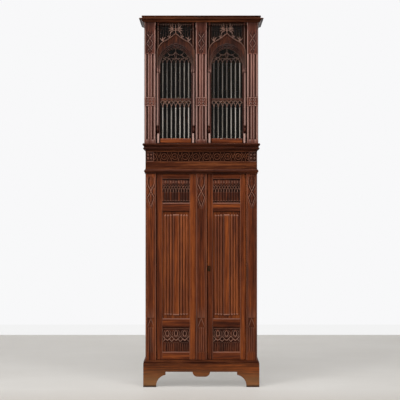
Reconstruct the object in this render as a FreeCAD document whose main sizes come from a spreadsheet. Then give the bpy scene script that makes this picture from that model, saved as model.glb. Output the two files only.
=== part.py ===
"""Gothic oak cabinet: a glazed stage with traceried windows over a panelled cupboard on bracket feet.

The origin is on the floor under the middle of the cabinet's box, +Z is up and the front faces -Y.
"""
import FreeCAD, Part
import math
import os
from functools import cache
from types import SimpleNamespace

import Sketcher

# Driving dimensions in millimetres. Each one is a cell of the sheet, under the same name.
SIZES = {
    # Stages, from the floor up
    "case_depth": 426.0,
    "plinth_height": 138.0,
    "plinth_projection": 13.0,
    "lower_width": 662.0,
    "lower_opening_height": 1106.0,
    "frieze_height": 140.0,
    "waist_height": 40.0,
    "upper_overhang": 7.0,
    "upper_opening_height": 719.0,
    "cornice_height": 37.0,
    # Mouldings
    "cornice_projection": 30.0,
    "waist_projection": 11.0,
    "frieze_bead_height": 30.0,
    "frieze_bead_projection": 4.5,
    # Boards of the case
    "board_thickness": 20.0,
    "side_thickness": 22.0,
    "side_stile_width": 60.0,
    "side_rail_height": 80.0,
    "back_thickness": 10.0,
    "shelf_thickness": 18.0,
    "shelf_setback": 40.0,
    "batten_size": 20.0,
    "lower_shelf_height": 560.0,
    "upper_shelf_height": 245.0,
    # Plinth
    "plinth_board": 24.0,
    "apron_clearance": 90.0,
    "foot_width": 77.0,
    "foot_sweep": 55.0,
    "foot_sweep_height": 72.0,
    "foot_sweep_radius": 66.0,
    "pendant_width": 104.0,
    "pendant_flat": 50.0,
    "pendant_drop": 29.0,
    "pendant_radius": 30.0,
    "plinth_rail_height": 60.0,
    # Pilasters
    "lower_pilaster_width": 64.0,
    "upper_pilaster_width": 68.0,
    "lower_strip_width": 66.0,
    "upper_strip_width": 68.0,
    "flute_radius": 6.0,
    "flute_spacing": 15.0,
    "flute_depth": 4.0,
    "sunk_depth": 2.0,
    "pilaster_border": 9.0,
    "pilaster_base": 36.0,
    "pilaster_head": 205.0,
    "upper_pilaster_base": 18.0,
    "upper_pilaster_neck": 188.0,
    "block_height": 46.0,
    "block_foot": 224.0,
    # Frieze
    "frieze_panel_foot": 70.0,
    "frieze_panel_height": 62.0,
    "frieze_block_width": 50.0,
    "frieze_ring_radius": 20.0,
    "frieze_ring_width": 5.0,
    "frieze_sunk_depth": 5.0,
    # Doors
    "door_thickness": 24.0,
    "door_gap": 3.5,
    "end_gap": 2.5,
    "groove_depth": 8.0,
    "panel_clearance": 0.3,
    "tenon_length": 14.0,
    "lower_door_recess": 10.0,
    "lower_stile_width": 33.0,
    "bottom_rail_height": 47.0,
    "foot_panel_height": 144.0,
    "lock_rail_height": 54.0,
    "frieze_rail_height": 51.0,
    "head_panel_height": 141.0,
    "top_rail_height": 28.0,
    # Panels of the lower doors
    "panel_field_proud": 6.0,
    "panel_margin": 9.0,
    "carving_depth": 5.0,
    "carving_bar": 5.0,
    "fold_side_margin": 8.5,
    "fold_end_margin": 24.0,
    "fold_proud": 7.0,
    "foot_circle_gap": 7.6,
    # Windows of the upper doors
    "upper_door_recess": 18.0,
    "upper_stile_width": 22.0,
    "window_sill_height": 26.0,
    "window_head_height": 20.0,
    "window_face_thickness": 12.0,
    "arch_crown_depth": 130.5,
    "arch_rise": 108.0,
    "arch_roll_inset": 5.0,
    "arch_roll_width": 6.0,
    "arch_roll_proud": 4.0,
    "hood_width": 9.0,
    "hood_proud": 8.0,
    "hood_apex_depth": 44.0,
    "hood_foot_depth": 113.0,
    "hood_shoulder_radius": 75.0,
    "crocket_radius": 7.0,
    "finial_width": 44.0,
    "fret_slot_width": 8.0,
    "fret_slot_spacing": 15.0,
    "tracery_thickness": 8.0,
    "light_rise": 14.0,
    "light_radius": 15.0,
    "spindle_radius": 4.5,
    "spindle_margin": 15.7,
    "transom_foot": 254.0,
    "transom_height": 14.0,
    "arcade_height": 42.0,
    "glass_thickness": 3.0,
    "glazing_bead": 7.0,
    # Colonnettes
    "colonnette_radius": 6.0,
    "colonnette_ring": 9.0,
    "colonnette_roll": 5.0,
    "pedestal_height": 65.0,
    "pedestal_radius": 7.5,
    "colonnette_base": 53.0,
    "capital_foot": 417.0,
    "capital_height": 47.0,
    "colonnette_head": 26.0,
    # Pivots, bolts and locks
    "pin_radius": 3.0,
    "pin_length": 32.0,
    "pin_clearance": 0.05,
    "pivot_inset": 7.0,
    "bolt_radius": 4.0,
    "bolt_length": 70.0,
    "bolt_travel": 12.0,
    "bolt_clearance": 0.1,
    "bolt_end_recess": 1.0,
    "bolt_stud_radius": 3.0,
    "bolt_stud_reach": 12.0,
    "keep_clearance": 0.5,
    "lower_lock_width": 24.0,
    "upper_lock_width": 46.0,
    "lock_height": 60.0,
    "lock_depth": 13.0,
    "lock_wall": 2.0,
    "lock_bolt_height": 14.0,
    "lock_bolt_thickness": 5.0,
    "lock_bolt_travel": 11.0,
    "lock_backset": 10.0,
    "lower_lock_height": 549.0,
    "keyhole_radius": 3.0,
    "keyhole_slot": 3.4,
    "keyhole_drop": 11.0,
    "escutcheon_width": 15.0,
    "escutcheon_height": 32.0,
    "escutcheon_thickness": 1.6,
    # Overrun of every cutting tool past the wood
    "overrun": 2.0,
}

# Counts
SPINDLES = 7
FRIEZE_RINGS = 8
BACK_BOARDS = 5
FRET_SLOTS = 4
HEAD_LANCETS = 6
FOOT_CIRCLES = 3

# Moulding outlines: projection share, height share and, for an arc to the next corner, its radius as a
# share of the height (positive turns left). The back edge follows from the case.
CORNICE_SHARES = [(0.08, 0.0, 0), (0.24, 0.02, 0.84), (1.0, 0.62, 0), (1.0, 0.76, 0), (0.6, 0.88, 0),
                  (0.6, 1.0, 0)]
WAIST_SHARES = [(0.0, 0.0, 0), (0.35, 0.12, 0.22), (0.75, 0.26, 0.22), (0.75, 0.44, 0),
                (0.35, 0.56, -0.22), (0.8, 0.66, 0), (1.0, 0.7, 0), (1.0, 0.94, 0), (0.9, 1.0, 0)]
FRIEZE_BEAD_SHARES = [(0.4, 0.0, 0), (1.0, 0.2, 0.32), (1.0, 0.7, 0), (0.5, 1.0, 0)]
PLINTH_SHARES = [(1.0, 0.0, 0), (1.0, 0.3, -0.82), (0.12, 1.0, 0)]

# Linenfold section from the middle outwards: places as shares of the half width and of the fold's height.
FOLD_VALLEY_SHARES = [(0.26, 0.25), (0.50, 0.2), (0.74, 0.15), (1.0, 0.0)]
FOLD_CREST_SHARES = [(0.38, 1.0), (0.62, 0.95), (0.87, 0.8)]
FOLD_MIDDLE_SHARE = 0.62
FOLD_FLAT_SHARE = 0.2

# Round lights of the window's tracery: place as shares of the half span and of the rise, radius as a share
# of the half span.
ROUND_LIGHT_SHARES = [(0.0, 0.80, 0.07), (0.0, 0.50, 0.10), (0.29, 0.66, 0.12), (0.58, 0.49, 0.10)]
HOOD_CROCKET_SHARES = [0.34, 0.62, 0.86]
FRET_HEAD_SHARE = 0.25

FRONTWARD = FreeCAD.Vector(0, -1, 0)
BACKWARD = FreeCAD.Vector(0, 1, 0)
UPWARD = FreeCAD.Vector(0, 0, 1)
LEFT, RIGHT = -1, 1
SIDE_NAMES = {LEFT: "left", RIGHT: "right"}

doc = FreeCAD.newDocument("gothic_cabinet")
sheet = doc.addObject("Spreadsheet::Sheet", "sizes")
nodes = []


class Size:
    """A length that knows its value and the spreadsheet formula behind it."""

    def __init__(self, value, formula):
        self.value = value
        self.formula = formula

    def __add__(self, other):
        return Size(self.value + value_of(other), f"({self.formula} + {formula_of(other)})")

    def __radd__(self, other):
        return Size(value_of(other) + self.value, f"({formula_of(other)} + {self.formula})")

    def __sub__(self, other):
        return Size(self.value - value_of(other), f"({self.formula} - {formula_of(other)})")

    def __rsub__(self, other):
        return Size(value_of(other) - self.value, f"({formula_of(other)} - {self.formula})")

    def __mul__(self, factor):
        return Size(self.value * factor, f"({self.formula} * {factor})")

    def __truediv__(self, divisor):
        return Size(self.value / divisor, f"({self.formula} / {divisor})")

    def __neg__(self):
        return self * -1


def value_of(length):
    return length.value if isinstance(length, Size) else length


def formula_of(length):
    return length.formula if isinstance(length, Size) else str(length)


def fill_sheet():
    """Writes every driving dimension to its own cell and returns them as sizes under their aliases."""
    for row, (alias, value) in enumerate(SIZES.items(), start=1):
        sheet.set(f"A{row}", str(value))
        sheet.setAlias(f"A{row}", alias)
    doc.recompute()
    return SimpleNamespace(**{alias: Size(value, f"sizes.{alias}") for alias, value in SIZES.items()})


size = fill_sheet()

# Planes across the depth, front to back
back = (size.case_depth + size.cornice_projection) / 2
upper_face = back - size.case_depth
lower_face = upper_face + size.upper_overhang
plinth_face = lower_face - size.plinth_projection
lower_door_face = lower_face + size.lower_door_recess
lower_door_rear = lower_door_face + size.door_thickness
upper_door_face = upper_face + size.upper_door_recess
upper_door_rear = upper_door_face + size.door_thickness
back_inside = back - size.back_thickness

# Levels, from the floor up
floor_top = size.plinth_height + size.board_thickness
frieze_base = floor_top + size.lower_opening_height
frieze_top = frieze_base + size.frieze_height
waist_top = frieze_top + size.waist_height
waist_board_base = waist_top - size.board_thickness
cornice_base = waist_top + size.upper_opening_height
lower_shelf_top = floor_top + size.lower_shelf_height
upper_shelf_top = waist_top + size.upper_shelf_height + size.shelf_thickness
lower_door_base = floor_top + size.end_gap
lower_door_top = frieze_base - size.end_gap
upper_door_base = waist_top + size.end_gap
upper_door_top = cornice_base - size.end_gap

# Distances from the middle line
lower_half = size.lower_width / 2
plinth_half = lower_half + size.plinth_projection
upper_half = lower_half + size.upper_overhang
lower_opening = lower_half - size.lower_pilaster_width
upper_opening = upper_half - size.upper_pilaster_width
lower_hinge_edge = lower_opening - size.door_gap
upper_hinge_edge = upper_opening - size.door_gap
lower_strip = size.lower_strip_width / 2
upper_strip = size.upper_strip_width / 2
lower_meeting = lower_strip + size.door_gap
upper_meeting = upper_strip + size.door_gap
lower_panel_inner = lower_meeting + size.lower_stile_width
lower_panel_outer = lower_hinge_edge - size.lower_stile_width
lower_panel_middle = (lower_panel_inner + lower_panel_outer) / 2
window_inner = upper_meeting + size.upper_stile_width
window_outer = upper_hinge_edge - size.upper_stile_width
window_middle = (window_inner + window_outer) / 2
window_half = (window_outer - window_inner) / 2
spindle_pitch = (window_half - size.spindle_margin) * 2 / (SPINDLES - 1)
lower_pivot = lower_hinge_edge - size.pivot_inset
lower_pivot_depth = lower_door_face + size.pivot_inset
upper_pivot = upper_hinge_edge - size.upper_stile_width / 2
upper_pivot_depth = upper_door_face - size.colonnette_ring

# Heights of the window's parts
window_sill = upper_door_base + size.window_sill_height
window_head = upper_door_top - size.window_head_height
glass_face = upper_door_face + size.window_face_thickness
transom_foot = waist_top + size.transom_foot
transom_top = transom_foot + size.transom_height
arcade_foot = transom_foot - size.arcade_height
arch_spring = window_head - size.arch_crown_depth - size.arch_rise
light_spring = arch_spring + size.light_rise


def bind(item, prop, length):
    """Ties one property of an object to its formula in the sheet."""
    item.setExpression(prop, formula_of(length))


def place(item, corner):
    """Ties an object's position to three formulas."""
    for letter, length in zip("xyz", corner):
        bind(item, f"Placement.Base.{letter}", length)


def board(name, low, high):
    """A straight board between two opposite corners."""
    item = doc.addObject("Part::Box", name)
    for prop, near, far in zip(("Length", "Width", "Height"), low, high):
        bind(item, prop, far - near)
    place(item, low)
    return item


def rod(name, radius, foot, length, direction=UPWARD):
    """A round rod or drill from its foot along a direction."""
    item = doc.addObject("Part::Cylinder", name)
    bind(item, "Radius", radius)
    bind(item, "Height", length)
    item.Placement = FreeCAD.Placement(FreeCAD.Vector(), FreeCAD.Rotation(UPWARD, direction))
    place(item, foot)
    return item


def shaped(name, shape, corner):
    """A piece whose outline only curves can give, set down with its own origin at a place."""
    item = doc.addObject("Part::Feature", name)
    item.Shape = shape
    place(item, corner)
    return item


def group(name, members):
    """Separate solids kept under one name."""
    item = doc.addObject("Part::Compound", name)
    item.Links = members
    return item


def cut(name, base, tools):
    """The base with every tool taken out of it."""
    item = doc.addObject("Part::Cut", name)
    item.Base = base
    item.Tool = tools[0] if len(tools) == 1 else group(f"{name}_tools", tools)
    return item


def fuse(name, base, tool):
    """Two shapes worked from one piece of wood or metal."""
    item = doc.addObject("Part::Fuse", name)
    item.Base = base
    item.Tool = tool
    return item


def node(item, label):
    """Marks an object as a finished sub-part under its node name."""
    item.Label = label
    nodes.append(item)


def span(side, near, far):
    """The range of X, low to high, between two distances from the middle line on one side."""
    return (near, far) if side == RIGHT else (-far, -near)


def origin_feature(body, role):
    return next(item for item in body.Origin.OriginFeatures if item.Role == role)


def arc_middle(start, end, radius):
    """The point halfway along an arc between two points, where a positive radius turns left."""
    chord = end - start
    sagitta = abs(radius) - math.sqrt(radius ** 2 - chord.Length ** 2 / 4)
    right_normal = FreeCAD.Vector(chord.y, -chord.x, 0).normalize()
    return (start + end) / 2 + right_normal * math.copysign(sagitta, radius)


def draw(sketch, corners):
    """Adds one closed outline whose corners, and arcs' radii, are held by dimensions bound to the sheet.

    A corner is its two coordinates and the radius of the arc to the next corner, 0 for a straight edge.
    """
    points = [FreeCAD.Vector(value_of(across), value_of(up), 0) for across, up, _ in corners]
    first = sketch.GeometryCount
    ends = []
    for index, (point, corner) in enumerate(zip(points, corners)):
        following = points[(index + 1) % len(points)]
        radius = value_of(corner[2])
        if radius:
            edge = Part.Arc(point, arc_middle(point, following, radius), following)
        else:
            edge = Part.LineSegment(point, following)
        geometry = sketch.addGeometry(edge)
        start, end = (sketch.getPoint(geometry, number) for number in (1, 2))
        forward = (start - point).Length < (end - point).Length
        ends.append((1, 2) if forward else (2, 1))
    for index, (across, up, radius) in enumerate(corners):
        before = (index - 1) % len(corners)
        here = (first + index, ends[index][0])
        sketch.addConstraint(Sketcher.Constraint("Coincident", first + before, ends[before][1], *here))
        hold(sketch, "DistanceX", here, across, -2)
        hold(sketch, "DistanceY", here, up, -1)
        if value_of(radius):
            bend = Sketcher.Constraint("Radius", first + index, abs(value_of(radius)))
            number = sketch.addConstraint(bend)
            bind(sketch, f"Constraints[{number}]", radius if value_of(radius) > 0 else -radius)


def hold(sketch, kind, here, length, axis):
    """Holds one coordinate of a point: on the axis where it is zero, else by a bound distance."""
    if abs(value_of(length)) < Part.Precision.confusion():
        sketch.addConstraint(Sketcher.Constraint("PointOnObject", *here, axis))
        return
    number = sketch.addConstraint(Sketcher.Constraint(kind, -1, 1, *here, value_of(length)))
    bind(sketch, f"Constraints[{number}]", length)


def new_sketch(body, name, plane, outlines):
    """A sketch of closed outlines on one of the body's own origin planes."""
    sketch = body.newObject("Sketcher::SketchObject", name)
    sketch.AttachmentSupport = [(origin_feature(body, plane), "")]
    sketch.MapMode = "FlatFace"
    for corners in outlines:
        draw(sketch, corners)
    return sketch


def padded(name, plane, corners, length, corner):
    """A body padded from one outline, set down with its origin at a place."""
    body = doc.addObject("PartDesign::Body", name)
    pad = body.newObject("PartDesign::Pad", f"{name}_pad")
    pad.Profile = new_sketch(body, f"{name}_outline", plane, [corners])
    bind(pad, "Length", length)
    body.Tip = pad
    place(body, corner)
    return body


def mitre(body, outlines):
    """Saws the ends of a padded length to the outlines seen from above."""
    pocket = body.newObject("PartDesign::Pocket", f"{body.Name}_mitre")
    pocket.Profile = new_sketch(body, f"{body.Name}_mitre_outline", "XY_Plane", outlines)
    pocket.Type = "ThroughAll"
    pocket.Reversed = True
    body.Tip = pocket


def moulding(name, half, face, projection, base, height, shares, lap):
    """Three mitred lengths of one moulding, round the front and the two sides of the case.

    lap is how far the foot of the moulding reaches back behind the face; above it the back is in line.
    """
    rim = [(projection * across, base + height * up, height * bend) for across, up, bend in shares]
    back_edge = [(0, base + height, 0)]
    if value_of(lap):
        step = base + height - size.board_thickness
        back_edge += [(0, step, 0), (-lap, step, 0)]
    profile = rim + back_edge + [(-lap, base, 0)]
    outside = half + projection
    reach = projection + lap
    run = outside * 2
    front_profile = [(-across, up, -bend) for across, up, bend in profile]
    front = padded(f"{name}_front", "YZ_Plane", front_profile, run, (-outside, face, 0))
    mitre(front, [[(0, -projection, 0), (0, lap, 0), (reach, lap, 0)],
                  [(run, -projection, 0), (run, lap, 0), (run - reach, lap, 0)]])
    lengths = [front]
    depth = back - face
    for side in (LEFT, RIGHT):
        side_profile = [(across * side, up, bend * side) for across, up, bend in profile]
        length = padded(f"{name}_{SIDE_NAMES[side]}", "XZ_Plane", side_profile, depth + projection,
                        (half * side, back, 0))
        mitre(length, [[(-lap * side, -depth - projection, 0), (projection * side, -depth - projection, 0),
                        (-lap * side, lap - depth, 0)]])
        lengths.append(length)
    node(group(name, lengths), name)


def joined_frame(name, turn, across, stile_widths, rails, faces, tenon, groove, tools=((), ())):
    """Two stiles and their rails, mortised together and grooved for what they hold.

    turn gives a corner from a place across the frame, a place through its thickness and a height. rails
    are pairs of heights from the lowest up; tenon and groove are bands through the thickness; tools are
    what else is cut out of the first and the second stile.
    """
    left, right = across
    inner_left = left + stile_widths[0]
    inner_right = right - stile_widths[1]
    depth = size.groove_depth
    grooves = []
    for index, (below, above) in enumerate(zip(rails, rails[1:])):
        grooves.append(board(f"{name}_groove_{index}",
                             turn(inner_left - depth, groove[0], below[1] - depth),
                             turn(inner_right + depth, groove[1], above[0] + depth)))
    members, tenons = [], []
    for index, (low, high) in enumerate(rails):
        rail = board(f"{name}_rail_board_{index}", turn(inner_left, faces[0], low),
                     turn(inner_right, faces[1], high))
        reach = size.tenon_length
        tongue = board(f"{name}_tenon_{index}", turn(inner_left - reach, tenon[0], low + depth),
                       turn(inner_right + reach, tenon[1], high - depth))
        tenons.append(tongue)
        beside = grooves[max(index - 1, 0):index + 1]
        tenoned = fuse(f"{name}_rail_tenoned_{index}", rail, tongue)
        members.append(cut(f"{name}_rail_{index}", tenoned, beside))
    low, high = rails[0][0], rails[-1][1]
    edges = [(left, inner_left), (inner_right, right)]
    for index, ((near, far), extra) in enumerate(zip(edges, tools)):
        stile = board(f"{name}_stile_board_{index}", turn(near, faces[0], low), turn(far, faces[1], high))
        members.append(cut(f"{name}_stile_{index}", stile, tenons + grooves + list(extra)))
    node(group(name, members), name)


def door_turn(across, through, height):
    """Door frames stand across the front."""
    return (across, through, height)


def side_turn(across, through, height):
    """Side frames run from front to back."""
    return (through, across, height)


def middle_third(front, rear):
    third = (rear - front) / 3
    return (front + third, rear - third)


def lancet(centre, foot, spring, half, radius, swell=0.0):
    """Wire of a pointed opening in the XZ plane: upright sides, then two arcs from the spring to the apex.

    swell moves the whole outline outwards by that much.
    """
    offset = radius - half
    half += swell
    radius += swell
    apex = FreeCAD.Vector(centre, 0, spring + math.sqrt(radius ** 2 - offset ** 2))
    wire = []
    corners = {side: FreeCAD.Vector(centre + side * half, 0, spring) for side in (LEFT, RIGHT)}
    feet = {side: FreeCAD.Vector(centre + side * half, 0, foot) for side in (LEFT, RIGHT)}
    for side in (LEFT, RIGHT):
        hub = FreeCAD.Vector(centre - side * offset, 0, spring)
        halfway = (corners[side] - hub + apex - hub).normalize() * radius
        wire.append(Part.Arc(corners[side], hub + halfway, apex).toShape())
        if spring > foot:
            wire.append(Part.makeLine(feet[side], corners[side]))
    wire.append(Part.makeLine(feet[LEFT], feet[RIGHT]))
    return Part.Wire(Part.__sortEdges__(wire))


def prism(wire, front, rear):
    """A flat outline in the XZ plane given its thickness between two depths."""
    face = Part.Face(wire)
    face.translate(FreeCAD.Vector(0, front, 0))
    return face.extrude(FreeCAD.Vector(0, rear - front, 0))


def disc(across, up, radius, front, rear):
    """A round cutter or boss across the thickness."""
    return Part.makeCylinder(radius, rear - front, FreeCAD.Vector(across, front, up), BACKWARD)


def block(low, high):
    """A plain block between two corners, for shapes worked with curves."""
    return Part.makeBox(*(far - near for near, far in zip(low, high)), FreeCAD.Vector(*low))


# Plinth


def bracket(edge, direction):
    """Corners of one bracket foot's inside, from the floor up to the apron, beside an outer edge."""
    foot = edge + size.foot_width * direction
    top = foot + size.foot_sweep * direction
    return [(foot, 0, size.foot_sweep_radius * -direction), (top, size.foot_sweep_height, 0),
            (top, size.apron_clearance, 0)]


def plinth_front():
    """The front board: a bracket foot at each end and a drop in the middle of the apron."""
    drop = size.apron_clearance - size.pendant_drop
    bend = size.pendant_radius
    left_foot = bracket(-plinth_half, RIGHT)
    right_foot = bracket(plinth_half, LEFT)
    corners = [(-plinth_half, 0, 0)] + left_foot
    corners += [(-size.pendant_width / 2, size.apron_clearance, bend), (-size.pendant_flat / 2, drop, 0)]
    corners += [(size.pendant_flat / 2, drop, bend), (size.pendant_width / 2, size.apron_clearance, 0)]
    corners += mirrored_run(right_foot)
    corners += [(plinth_half, 0, 0), (plinth_half, size.plinth_height, 0)]
    corners.append((-plinth_half, size.plinth_height, 0))
    body = padded("plinth_front", "XZ_Plane", corners, size.plinth_board,
                  (0, plinth_face + size.plinth_board, 0))
    node(body, "plinth_front")


def mirrored_run(corners):
    """The same stretch of outline walked the other way, each arc kept with its own edge."""
    places = [corner[:2] for corner in reversed(corners)]
    bends = [corner[2] for corner in reversed(corners[:-1])] + [0]
    return [(across, up, -bend if value_of(bend) else 0) for (across, up), bend in zip(places, bends)]


def plinth_sides():
    """The two side boards, with a bracket foot at each end."""
    near = plinth_face + size.plinth_board
    corners = [(near, 0, 0)] + bracket(near, RIGHT) + mirrored_run(bracket(back, LEFT))
    corners += [(back, 0, 0), (back, size.plinth_height, 0), (near, size.plinth_height, 0)]
    sides = []
    for side in (LEFT, RIGHT):
        low, _ = span(side, plinth_half - size.plinth_board, plinth_half)
        name = f"plinth_{SIDE_NAMES[side]}_side"
        sides.append(padded(name, "YZ_Plane", corners, size.plinth_board, (low, 0, 0)))
    node(group("plinth_sides", sides), "plinth_sides")


def plinth_back():
    """The rail that ties the two side boards at the back."""
    inside = plinth_half - size.plinth_board
    underside = size.plinth_height - size.plinth_rail_height
    rail = board("plinth_back_rail", (-inside, back - size.plinth_board, underside),
                 (inside, back, size.plinth_height))
    node(rail, "plinth_back")


# Case boards


def bottom_board():
    """The cupboard's floor, bored for the lower pins and the bolt."""
    slab = board("bottom_slab", (-lower_half, lower_face, size.plinth_height), (lower_half, back, floor_top))
    holes = [pin_hole(f"bottom_pin_hole_{side}", lower_pivot * side, lower_pivot_depth, floor_top, LEFT)
             for side in (LEFT, RIGHT)]
    holes.append(keep("bottom_keep", lower_bolt_place(), floor_top, LEFT))
    node(cut("bottom_board", slab, holes), "bottom_board")


def waist_board():
    """The board between the stages: the cupboard's top and the glazed stage's floor."""
    slab = board("waist_slab", (-upper_half, upper_face, waist_board_base), (upper_half, back, waist_top))
    holes = [pin_hole(f"waist_pin_hole_{side}", upper_pivot * side, upper_pivot_depth, waist_top, LEFT)
             for side in (LEFT, RIGHT)]
    holes.append(keep("waist_keep", upper_bolt_place(), waist_top, LEFT))
    node(cut("waist_board", slab, holes), "waist_board")


def top_board():
    """The glazed stage's top, low inside the cornice."""
    slab = board("top_slab", (-upper_half, upper_face, cornice_base),
                 (upper_half, back, cornice_base + size.board_thickness))
    holes = [pin_hole(f"top_pin_hole_{side}", upper_pivot * side, upper_pivot_depth, cornice_base, RIGHT)
             for side in (LEFT, RIGHT)]
    holes.append(keep("top_keep", upper_bolt_place(), cornice_base, RIGHT))
    node(cut("top_board", slab, holes), "top_board")


def case_sides():
    """Framed sides of both stages, with their panels; the lower head rail is as tall as the frieze."""
    panels = []
    rail = size.side_rail_height
    stages = {
        "lower": (lower_half, lower_door_rear, floor_top, waist_board_base, [lower_shelf_top],
                  frieze_base - size.side_stile_width),
        "upper": (upper_half, upper_door_rear, waist_top, cornice_base, [], cornice_base - rail),
    }
    for stage, (half, front, low, high, middles, head_rail) in stages.items():
        middle_rails = [(at - rail / 2, at + rail / 2) for at in middles]
        rails = [(low, low + rail)] + middle_rails + [(head_rail, high)]
        for side in (LEFT, RIGHT):
            name = f"{stage}_{SIDE_NAMES[side]}_side_frame"
            faces = span(side, half - size.side_thickness, half)
            band = middle_third(*faces)
            widths = (size.side_stile_width, size.side_stile_width)
            joined_frame(name, side_turn, (front, back_inside), widths, rails, faces, band, band)
            for index, (below, above) in enumerate(zip(rails, rails[1:])):
                panels.append(flat_panel(f"{name}_panel_{index}", side_turn,
                                         (front + widths[0], back_inside - widths[1]),
                                         (below[1], above[0]), band))
    node(group("side_panels", panels), "side_panels")


def flat_panel(name, turn, across, heights, band):
    """A thin panel whose edges lie in the frame's grooves with a little play."""
    reach = size.groove_depth - size.panel_clearance
    play = size.panel_clearance
    return board(name, turn(across[0] - reach, band[0] + play, heights[0] - reach),
                 turn(across[1] + reach, band[1] - play, heights[1] + reach))


def back_boards(stage, half, low, high):
    """Upright boards that close the back of one stage."""
    width = half * 2 / BACK_BOARDS
    boards = [board(f"{stage}_back_board_{index}", (width * index - half, back_inside, low),
                    (width * (index + 1) - half, back, high)) for index in range(BACK_BOARDS)]
    node(group(f"{stage}_back_boards", boards), f"{stage}_back_boards")


def shelves():
    """One shelf in each stage, on battens along the sides."""
    battens = []
    stages = (("lower", lower_half, lower_door_rear, lower_shelf_top),
              ("upper", upper_half, upper_door_rear, upper_shelf_top))
    for stage, half, front, top in stages:
        inside = half - size.side_thickness
        near = front + size.shelf_setback
        underside = top - size.shelf_thickness
        shelf = board(f"{stage}_shelf", (-inside, near, underside), (inside, back_inside, top))
        node(shelf, f"{stage}_shelf")
        for side in (LEFT, RIGHT):
            low, high = span(side, inside - size.batten_size, inside)
            name = f"{stage}_{SIDE_NAMES[side]}_batten"
            foot = underside - size.batten_size
            battens.append(board(name, (low, near, foot), (high, back_inside, underside)))
    node(group("shelf_battens", battens), "shelf_battens")


# Pilasters


def flutes(name, middle, face, low, high):
    """Cutters for three upright flutes on a pilaster's face."""
    hub = face - size.flute_radius + size.flute_depth
    return [rod(f"{name}_flute_{index}", size.flute_radius, (middle + size.flute_spacing * index, hub, low),
                high - low) for index in (-1, 0, 1)]


def upper_carving(name, middle, low):
    """Cutters for the upper stage's pilasters: two tiers of flutes below and above the middle block."""
    block_foot = low + size.block_foot
    block_top = block_foot + size.block_height
    lower_tier = flutes(f"{name}_low", middle, upper_face, low + size.upper_pilaster_base, block_foot)
    neck = cornice_base - size.upper_pilaster_neck
    upper_tier = flutes(f"{name}_high", middle, upper_face, block_top, neck)
    return lower_tier + upper_tier


def lower_carving(name, low, high, half_width, middle):
    """Cutter for the long sunk field of the lower stage's pilasters, between the carved head and the base."""
    reach = half_width - size.pilaster_border
    return [board(f"{name}_field", (middle - reach, lower_face - size.overrun, low + size.pilaster_base),
                  (middle + reach, lower_face + size.sunk_depth, high - size.pilaster_head))]


def corner_pilasters():
    """The four pilasters at the case's front corners."""
    for side in (LEFT, RIGHT):
        name = f"lower_{SIDE_NAMES[side]}_pilaster"
        low, high = span(side, lower_opening, lower_half)
        post = board(f"{name}_post", (low, lower_face, floor_top), (high, lower_door_rear, frieze_base))
        half_width = size.lower_pilaster_width / 2
        carving = lower_carving(name, floor_top, frieze_base, half_width, (low + high) / 2)
        node(cut(name, post, carving), name)
        name = f"upper_{SIDE_NAMES[side]}_pilaster"
        low, high = span(side, upper_opening, upper_half)
        post = board(f"{name}_post", (low, upper_face, waist_top), (high, upper_door_rear, cornice_base))
        node(cut(name, post, upper_carving(name, (low + high) / 2, waist_top)), name)


def centre_strips():
    """The two strips on the left doors that cover the middle of the front."""
    name = "lower_centre_strip"
    slab = board(f"{name}_slab", (-lower_strip, lower_face, lower_door_base),
                 (lower_strip, lower_door_face, lower_door_top))
    node(cut(name, slab, lower_carving(name, floor_top, frieze_base, lower_strip, 0)), name)
    name = "upper_centre_strip"
    slab = board(f"{name}_slab", (-upper_strip, upper_face, upper_door_base),
                 (upper_strip, upper_door_face, upper_door_top))
    carving = upper_carving(name, 0, waist_top)
    carving += keyhole(f"{name}_keyhole", upper_lock(), upper_face, upper_door_face)
    node(cut(name, slab, carving), name)


# Frieze


def frieze():
    """The frieze board with its band of rings, the two end blocks and the bead below."""
    panel_foot = frieze_base + size.frieze_panel_foot
    panel_top = panel_foot + size.frieze_panel_height
    slab = board("frieze_slab", (-lower_half, lower_face, frieze_base),
                 (lower_half, lower_door_rear, waist_board_base))
    panel_half = lower_half - size.frieze_block_width
    sunk = board("frieze_sunk", (-lower_half - size.overrun, lower_face - size.overrun, panel_foot),
                 (lower_half + size.overrun, lower_face + size.frieze_sunk_depth, panel_top))
    holes = [pin_hole(f"frieze_pin_hole_{side}", lower_pivot * side, lower_pivot_depth, frieze_base, RIGHT)
             for side in (LEFT, RIGHT)]
    holes.append(keep("frieze_keep", lower_bolt_place(), frieze_base, RIGHT))
    node(cut("frieze_board", slab, [sunk] + holes), "frieze_board")
    node(frieze_rings(panel_half, (panel_foot + panel_top) / 2), "frieze_tracery")
    blocks = []
    for side in (LEFT, RIGHT):
        low, high = span(side, panel_half, lower_half)
        blocks.append(board(f"frieze_{SIDE_NAMES[side]}_block", (low, lower_face, panel_foot),
                            (high, lower_face + size.frieze_sunk_depth, panel_top)))
    node(group("frieze_end_blocks", blocks), "frieze_end_blocks")
    moulding("frieze_moulding", lower_half, lower_face, size.frieze_bead_projection, frieze_base,
             size.frieze_bead_height, FRIEZE_BEAD_SHARES, 0)


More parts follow.
